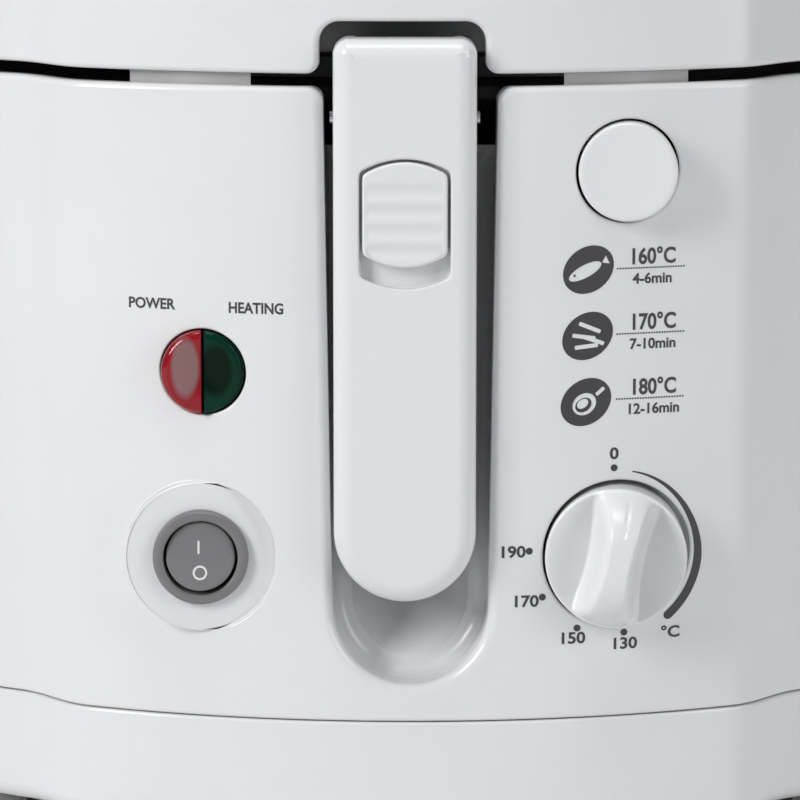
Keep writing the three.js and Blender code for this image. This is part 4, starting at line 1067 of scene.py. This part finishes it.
def handle():
    skin = Skin()
    half, crown = HANDLE_WIDTH / 2, 3.6
    end = HANDLE_END + half
    outline = np.concatenate([
        arc(HANDLE_X, end, half, 180, 360, 60),
        arc(HANDLE_X + half - crown, HANDLE_TOP - crown, crown, 0, 90, 10),
        arc(HANDLE_X - half + crown, HANDLE_TOP - crown, crown, 90, 180, 10),
    ])
    top_part = outline[:, 1] > HANDLE_TOP - crown
    outline[top_part, 1] -= 0.7 * np.square((outline[top_part, 0] - HANDLE_X) / half)
    bracket_half = 12.8
    outline = spaced(outline, 2.0)
    on_top = (outline[:, 1] > HANDLE_TOP - 1.0) & (np.abs(outline[:, 0] - HANDLE_X) < bracket_half)
    away = away_from(outline)
    deep = np.where(on_top, 9.0, HANDLE_BACK - HANDLE_FACE)
    face = front_face(HANDLE_FACE)
    rows, border = edge_rows(face, outline, away, 4.6, deep, turns=8)
    skin.rows(rows)
    inner = outline - away * HANDLE_SKIN
    hollow = HANDLE_FACE + HANDLE_SKIN + 4.5

    def ring(loop, y, ways):
        return columns(loop[:, 0], y, loop[:, 1]), ways

    back_y = HANDLE_FACE + deep
    rear = np.tile([0.0, 1.0, 0.0], (len(outline), 1))
    side = columns(-away[:, 0], np.zeros(len(away)), -away[:, 1])
    skin.rows([ring(outline, back_y, rear), ring(inner, back_y, rear)])
    floor_y = np.full(len(inner), hollow)
    skin.rows([ring(inner, back_y, side), ring(inner, floor_y, side)])
    inside_face = Flat((0, hollow, 0), (1, 0, 0), (0, 0, 1), (0, 1, 0))
    stem_hole = rounded_rect(HANDLE_X, 157, 8, 16.8, 0.4, 3)
    cover(skin, inside_face, inner, [stem_hole], (8, 8))

    slot, slot_foot = soften(slider_loop(SLOT_WIDTH, SLOT_TOP, SLOT_END), 1.8), 0.4
    slot_rim = cut(skin, face, slot, 0.7, SLOT_FLOOR, slot_foot)
    cover(skin, face, border, [slot_rim], (3, 3))
    floor = front_face(HANDLE_FACE + SLOT_FLOOR)
    cover(skin, floor, slot - away_from(slot) * slot_foot, [stem_hole], (3, 3))
    cut(skin, floor, stem_hole, 0.05, hollow - HANDLE_FACE - SLOT_FLOOR)
    finish_piece(skin, "handle_cover", ["white"], "handle", ["handle"])


def slider_relief(q):
    """Four soft waves across the slider."""
    pitch, first = 4.7, SLIDER_TOP - 4.6
    turn = np.clip((first - q[:, 1]) / pitch, 0, 4)
    depth = 0.23 * (1 - np.cos(2 * math.pi * turn))
    return depth * smooth(9.4, 8.4, np.abs(q[:, 0] - HANDLE_X))


def slider():
    skin = Skin()
    face_y = HANDLE_FACE - 0.6
    loop = soften(slider_loop(SLIDER_WIDTH, SLIDER_TOP, SLIDER_TOP - SLIDER_HEIGHT), 1.5)
    slab(skin, front_face(face_y), loop, (), 3.2, 0.7, None, (0.9, 0.35), slider_relief)
    for half, y0, y1, low, high in ((3.4, -178.2, -170.0, 154.1, 165.1), (3.4, -172.5, -170.0, 154.1, 171.7)):
        block = rounded_rect(HANDLE_X, (low + high) / 2, 2 * half, high - low, 0.5, 4)
        slab(skin, front_face(y0), block, (), y1 - y0, 0.3)
    finish_piece(skin, "slider_cap", ["white"], "slider", ["handle_slider"])


# ---------------------------------------------------------------- controls
def release_button():
    skin = Skin()
    x, z, radius = BUTTON
    face = float(console_y(x)) - BUTTON_PROUD
    profile = [(0, 0.5), (4, 0.46), (8, 0.26), (10.2, 0.08), (10.9, 0.02), (11.4, 0.16), (11.7, 0.5),
               (radius, 1.1), (radius, 9), (radius - 2, 9), (radius - 2, 2.5), (0, 2.5)]
    lathe(skin, (x, face, z), "front", profile, 96)
    stem = [(2.6, 1.0), (2.6, float(-156.8 - face)), (0, float(-156.8 - face))]
    lathe(skin, (x, face, z), "front", stem, 24)
    finish_piece(skin, "button_cap", ["white"], "button", ["release_button"])


def button_spring():
    """The return spring, drawn at its pressed length so that it clears the cap at both ends of its travel."""
    skin = Skin()
    x, z, _ = BUTTON
    radius, turns = 4.5, 4.5
    turn = np.linspace(0, 2 * math.pi * turns, 120)
    y = np.linspace(-164.5, -158.0, len(turn))
    tube(skin, columns(x + radius * np.cos(turn), y, z + radius * np.sin(turn)), 0.3, 6)
    finish_piece(skin, "button_spring_coil", ["steel"], "fryer", ["button_spring"])


def switch():
    skin = Skin()
    x, z, _ = SWITCH
    face = SEAT_Y - 2.2
    profile = [(8.9, 10), (8.9, 0.7), (9.05, 0.25), (9.5, 0.02), (10.3, 0.02), (10.9, 0.2), (11.35, 0.7),
               (11.5, 1.3), (11.5, 2.2)]
    lathe(skin, (x, face, z), "front", profile, 96)
    finish_piece(skin, "switch_bezel", ["grey"], "fryer", ["switch_body"])


def rocker():
    skin = Skin()
    x, z, radius = SWITCH
    lean = math.radians(9)
    pivot = SEAT_Y + 1
    radius -= 0.2

    def turned(points):
        y, h = points[..., 1] - pivot, points[..., 2]
        out = points.copy()
        out[..., 1] = y * math.cos(lean) + h * math.sin(lean) + pivot
        out[..., 2] = h * math.cos(lean) - y * math.sin(lean) + z
        return out

    def sink(h):
        return SEAT_Y - 2.4 + 1.0 * (1 - np.square(h / radius))

    turn = np.linspace(0, 2 * math.pi, 72, endpoint=False)
    rows = []
    face = [(share, 0) for share in (0.001, 0.2, 0.4, 0.6, 0.8, 0.92)]
    for share, back in face + [(0.965, 0.05), (0.99, 0.25), (1, 0.6), (1, 2.5), (1, 5.2)]:
        px, pz = radius * share * np.cos(turn), radius * share * np.sin(turn)
        rows.append(turned(columns(px + x, sink(pz) + back, pz)))
    skin.grid(rows)

    def mark(loop, holes=()):
        spots, triangles = fill(loop, holes, (0.8, 0.8))
        proud = 0.04
        points = columns(spots[:, 0] + x, sink(spots[:, 1]) - proud, spots[:, 1])
        way = turned(np.array([[0, pivot - 1.0, 0]])) - turned(np.array([[0, pivot, 0]]))
        skin.add(turned(points), np.tile(way, (len(points), 1)), triangles.tolist(), 1)

    mark(rounded_rect(-0.45, 2.1, 0.5, 3.2, 0.1, 2))
    mark(circle(-0.1, -4.0, 1.75, 32), [circle(-0.1, -4.0, 1.25, 32)])
    finish_piece(skin, "rocker_cap", ["grey", "pale_ink"], "rocker", ["power_rocker"])


def lenses():
    """The lamp's two half-round caps, with a thin gap between their straight edges."""
    x, z, radius = LAMP
    face = front_face(float(console_y(x)) - LENS_PROUD)
    edge = math.degrees(math.asin(LENS_GAP / radius))

    def dish(q):
        return 0.35 * smooth(radius - 2.2, 0, np.hypot(q[:, 0] - x, q[:, 1] - z))

    for look, start in (("red", 90 + edge), ("green", -90 + edge)):
        skin = Skin()
        loop = spaced(arc(x, z, radius, start, start + 180 - 2 * edge, 60), 1.0)
        straight = np.abs(loop[:, 0] - x) < LENS_GAP + 0.01
        lips = np.where(straight, 0.12, 1.9)
        rows, border = edge_rows(face, loop, away_from(loop), lips, 7.0, turns=6)
        skin.rows(rows)
        cover(skin, face, border, (), (1.5, 1.5), dish)
        finish_piece(skin, f"lamp_cap_{look}", [look], "fryer", [f"lamp_lens_{look}"])


def dial():
    skin = Skin()
    x, z, radius = DIAL
    rim_y = float(console_y(x)) - DIAL_PROUD
    rise = rim_y - DIAL_FRONT
    lean = math.radians(DIAL_TURNED)

    def height(px, pz):
        """How far the dial stands before its rim: a dished disc and a waisted grip across it."""
        across = px * math.cos(lean) - pz * math.sin(lean)
        along = px * math.sin(lean) + pz * math.cos(lean)
        reach = np.hypot(px, pz)
        ridge = 2.4 + 2.6 * np.square(along / radius)
        off = np.maximum(np.abs(across) - ridge, 0)
        flank = 4.4
        grip = np.where(off < flank, 0.5 + 0.5 * np.cos(math.pi * np.minimum(off / flank, 1)), 0) ** 0.8
        fall = 1 - np.clip(reach / 16.9, 0, 1) ** 3.2
        pointer = smooth(6.5, 7.5, along) * smooth(15.6, 14.6, along)
        groove = 0.4 * smooth(0.42, 0.15, np.abs(across)) * pointer
        dish = -2.2 * smooth(16.5, 4.0, np.abs(across)) * (1 - np.clip(reach / 16.4, 0, 1) ** 6)
        return dish * (1 - grip) + rise * grip * fall - groove

    lip, count = 0.6, 160
    turn = np.linspace(0, 2 * math.pi, count, endpoint=False)

    def ring(reach, y):
        return columns(reach * np.cos(turn) + x, y, reach * np.sin(turn) + z)

    rows = []
    for reach in np.concatenate([np.linspace(0.001, 14, 44), np.linspace(14.3, radius - lip, 12)]):
        edge_y = rim_y - height(reach * np.cos(turn), reach * np.sin(turn))
        rows.append(ring(reach, edge_y))
    rows += [ring(reach, edge_y + drop) for reach, drop in ((16.72, 0.108), (16.92, 0.3), (radius, lip))]
    rows += [ring(radius, np.full(count, y)) for y in (rim_y + 2.0, DIAL_WELL - 0.8)]
    skin.grid(rows)
    finish_piece(skin, "dial_knob", ["white"], "dial", ["temperature_dial"])


# ---------------------------------------------------------------- printed marks
def letters(text, x, z, height, narrow):
    """Triangles of a line of text on (x, z)."""
    curve = bpy.data.curves.new("text", "FONT")
    curve.body = text
    curve.size = height / 0.7
    curve.align_x = "CENTER"
    curve.resolution_u = 4
    curve.offset = 0.028 * curve.size
    temp = bpy.data.objects.new("text", curve)
    mesh = bpy.data.meshes.new_from_object(temp)
    mesh.calc_loop_triangles()
    spots = np.array([[v.co.x * narrow + x, v.co.y + z] for v in mesh.vertices])
    triangles = [tuple(t.vertices) for t in mesh.loop_triangles]
    bpy.data.objects.remove(temp)
    bpy.data.curves.remove(curve)
    bpy.data.meshes.remove(mesh)
    return spots, triangles


def ellipse(x, z, wide, tall, lean=0.0, count=40):
    turn = np.linspace(0, 2 * math.pi, count, endpoint=False)
    a, b = wide / 2 * np.cos(turn), tall / 2 * np.sin(turn)
    c, s = math.cos(math.radians(lean)), math.sin(math.radians(lean))
    return columns(x + a * c - b * s, z + a * s + b * c)


def turned_rect(x, z, width, height, radius, angle):
    """A small rounded rectangle turned by an angle in radians."""
    c, s = math.cos(angle), math.sin(angle)
    return rounded_rect(0, 0, width, height, radius, 2) @ np.array([[c, s], [-s, c]]) + [x, z]


def marks():
    skin = Skin()

    def lay(spots, triangles):
        spots = np.array(spots)
        slope = spots[:, 0] / np.sqrt(CONSOLE_RADIUS**2 - spots[:, 0] ** 2)
        ways = columns(slope, -np.ones(len(spots)), np.zeros(len(spots)))
        points = columns(spots[:, 0], console_y(spots[:, 0]) - 0.05, spots[:, 1])
        skin.add(points, ways, [tuple(t) for t in triangles])

    def shape(loop, holes=()):
        lay(*fill(loop, holes, (1.5, 1.5)))

    lay(*letters("POWER", -61.7, 133.3, 2.5, 0.9))
    lay(*letters("HEATING", -36.6, 133.0, 2.5, 0.87))
    rows = (("160°C", "4-6min", 57.6, 143.3), ("170°C", "7-10min", 57.8, 127.6),
            ("180°C", "12-16min", 58.0, 111.9))
    for heat, minutes, x, z in rows:
        lay(*letters(heat, x, z + 1.0, 3.7, 0.82))
        lay(*letters(minutes, x, z - 3.7, 2.45, 0.97))
        for k in range(26):
            shape(rounded_rect(49.2 + k * 0.64, z, 0.42, 0.42, 0.1, 2))
    for text, x, z in (("0", 48.7, 97.5), ("190", 24.3, 74.4), ("170", 27.5, 62.3), ("150", 38.8, 52.9),
                       ("130", 51.4, 51.0), ("°C", 62.7, 53.1)):
        lay(*letters(text, x, z, 2.7, 1.12))
    for x, z in ((48.7, 95.3), (28.4, 75.8), (31.6, 64.5), (40.0, 56.6), (51.4, 55.0)):
        shape(circle(x, z, 0.85, 20))
    # The swelling arc round the dial.
    centre, start, end = (48.9, 74.3), 78.0, -50.0
    turn = np.radians(np.linspace(start, end, 60))
    share = np.linspace(0, 1, 60)
    inner = 19.45 + 0.75 * smooth(0.45, 0, share)
    outer = inner + np.interp(share, (0, 0.25, 0.65, 1), (0.3, 1.0, 2.0, 2.15))
    ring = [columns(centre[0] + r * np.cos(turn), centre[1] + r * np.sin(turn)) for r in (outer, inner)]
    cap = ring[0][-1] * 0.5 + ring[1][-1] * 0.5
    size = (outer[-1] - inner[-1]) / 2
    shape(np.concatenate([ring[1], ring[0][::-1]]))
    shape(circle(cap[0], cap[1], size, 24))

    # Three plain food pictures, each white on a grey oval.
    fish = ellipse(41.4, 142.9, 8.6, 3.0, 27, 30)
    tail = np.array([[45.4, 144.9], [47.3, 144.6], [46.3, 146.6]])
    shape(ellipse(42.2, 143.3, 13.0, 10.6, 38), [fish, tail])
    shape(circle(38.9, 141.9, 0.3, 12))
    chip_places = ((42.6, 129.4, -0.4), (41.2, 127.2, -0.15), (43.4, 126.4, -0.35), (41.8, 124.9, 0.1))
    chips = [turned_rect(x, z, 5.6, 1.0, 0.2, angle) for x, z, angle in chip_places]
    shape(ellipse(42.1, 127.4, 13.0, 10.6, 38), chips)
    drum = ellipse(41.4, 111.0, 6.0, 5.0, 35, 30)
    bone = rounded_rect(0, 0, 2.6, 0.9, 0.3, 3) @ np.array([[0.75, 0.66], [-0.66, 0.75]]) + [45.2, 114.0]
    shape(ellipse(41.8, 111.5, 13.0, 10.6, 38), [drum, bone])
    shape(ellipse(41.2, 110.8, 4.2, 3.2, 35, 24), [ellipse(41.0, 111.1, 3.0, 2.1, 35, 20)])
    finish_piece(skin, "printed_marks", ["ink"], "fryer")


# ---------------------------------------------------------------- pot, basket and seals
def pot_loop(grow, count=200):
    loop = rounded_rect(0, POT_Y, 2 * (POT_HALF[0] + grow), 2 * (POT_HALF[1] + grow), POT_CORNER + grow, 40)
    closed = np.concatenate([loop, loop[:1]])
    steps = np.concatenate([[0], np.cumsum(np.linalg.norm(np.diff(closed, axis=0), axis=1))])
    even = np.linspace(0, steps[-1], count, endpoint=False)
    return columns(*[np.interp(even, steps, closed[:, i]) for i in range(2)])


def pot_rows(profile, count=200):
    """Rows round the pot's plan for a profile of (inset, z); deep insets close in on its middle."""
    rows = []
    for inset, z in profile:
        ring = pot_loop(-min(inset, 60), count)
        if inset > 60:
            ring = (ring - [0, POT_Y]) * (REACH - inset) / (REACH - 60) + [0, POT_Y]
        rows.append(level(ring, z))
    return rows


def pot():
    skin = Skin()
    rim = POT_RIM + 1.6
    inner = curve_through([(1.6, 176), (1.6, 170), (2.4, 130), (4.4, 90), (6.2, 76), (11.2, 65.4),
                           (22.5, 59.6), (40, 59.6), (60, 59.6)], 6)
    flange = [(-6, POT_RIM), (-6.2, rim - 0.6), (-5.6, rim), (-1, rim), (0.6, rim - 0.5)]
    skin.grid(pot_rows([*flange, *inner, (90, 59.6), (129.9, 59.6)]))
    outer = curve_through([(0, 176), (0, 170), (1, 130), (3, 90), (4.4, 76), (10, 64), (22, 58), (40, 58),
                           (60, 58)], 5)
    skin.grid(pot_rows([(-6, POT_RIM), *outer, (90, 58), (129.9, 58)]), flip=True)
    finish_piece(skin, "pot_coated", ["coat"], "fryer", ["pot"])


def basket():
    """A wire basket of the same outer shape as the CAD's thin bucket."""
    skin = Skin()
    wall = curve_through([(12.3, 176), (12.3, 169.6), (13.6, 140), (15, 110), (16.6, 86), (19, 76),
                          (26, 72.6), (40, 72.6)], 5)
    count = 96
    sides = np.array(pot_rows(wall, count))
    for k in range(count):
        tube(skin, sides[:, k], 0.55, 6)
    for inset, z, size in ((12.0, 169.2, 1.6), (12.7, 163, 0.55), (19.3, 75.6, 0.7)):
        tube(skin, pot_rows([(inset, z)], 160)[0], size, 8, True)
    for z in np.arange(153, 82, -10):
        inset = float(np.interp(z, wall[::-1, 1], wall[::-1, 0]))
        tube(skin, pot_rows([(inset + 0.8, z)], 160)[0], 0.5, 6, True)
    edge = pot_loop(-26.0, 240)
    for x in np.arange(-64, 65, 8):
        ys = edge[np.abs(edge[:, 0] - x) < 3][:, 1]
        tube(skin, [(x, y, 72.6) for y in np.linspace(ys.min(), ys.max(), 12)], 0.55, 6)
    for y in np.arange(-88, 109, 8):
        xs = edge[np.abs(edge[:, 1] - y) < 3][:, 0]
        if len(xs):
            tube(skin, [(x, y, 73.6) for x in np.linspace(xs.min(), xs.max(), 10)], 0.55, 6)
    finish_piece(skin, "basket_wires", ["wire"], "fryer", ["basket"])


stage()
dress_kept_pieces()
housing()
lid()
lid_inserts()
base()
feet()
cord_gland()
handle()
slider()
release_button()
button_spring()
switch()
rocker()
lenses()
dial()
marks()
pot()
basket()
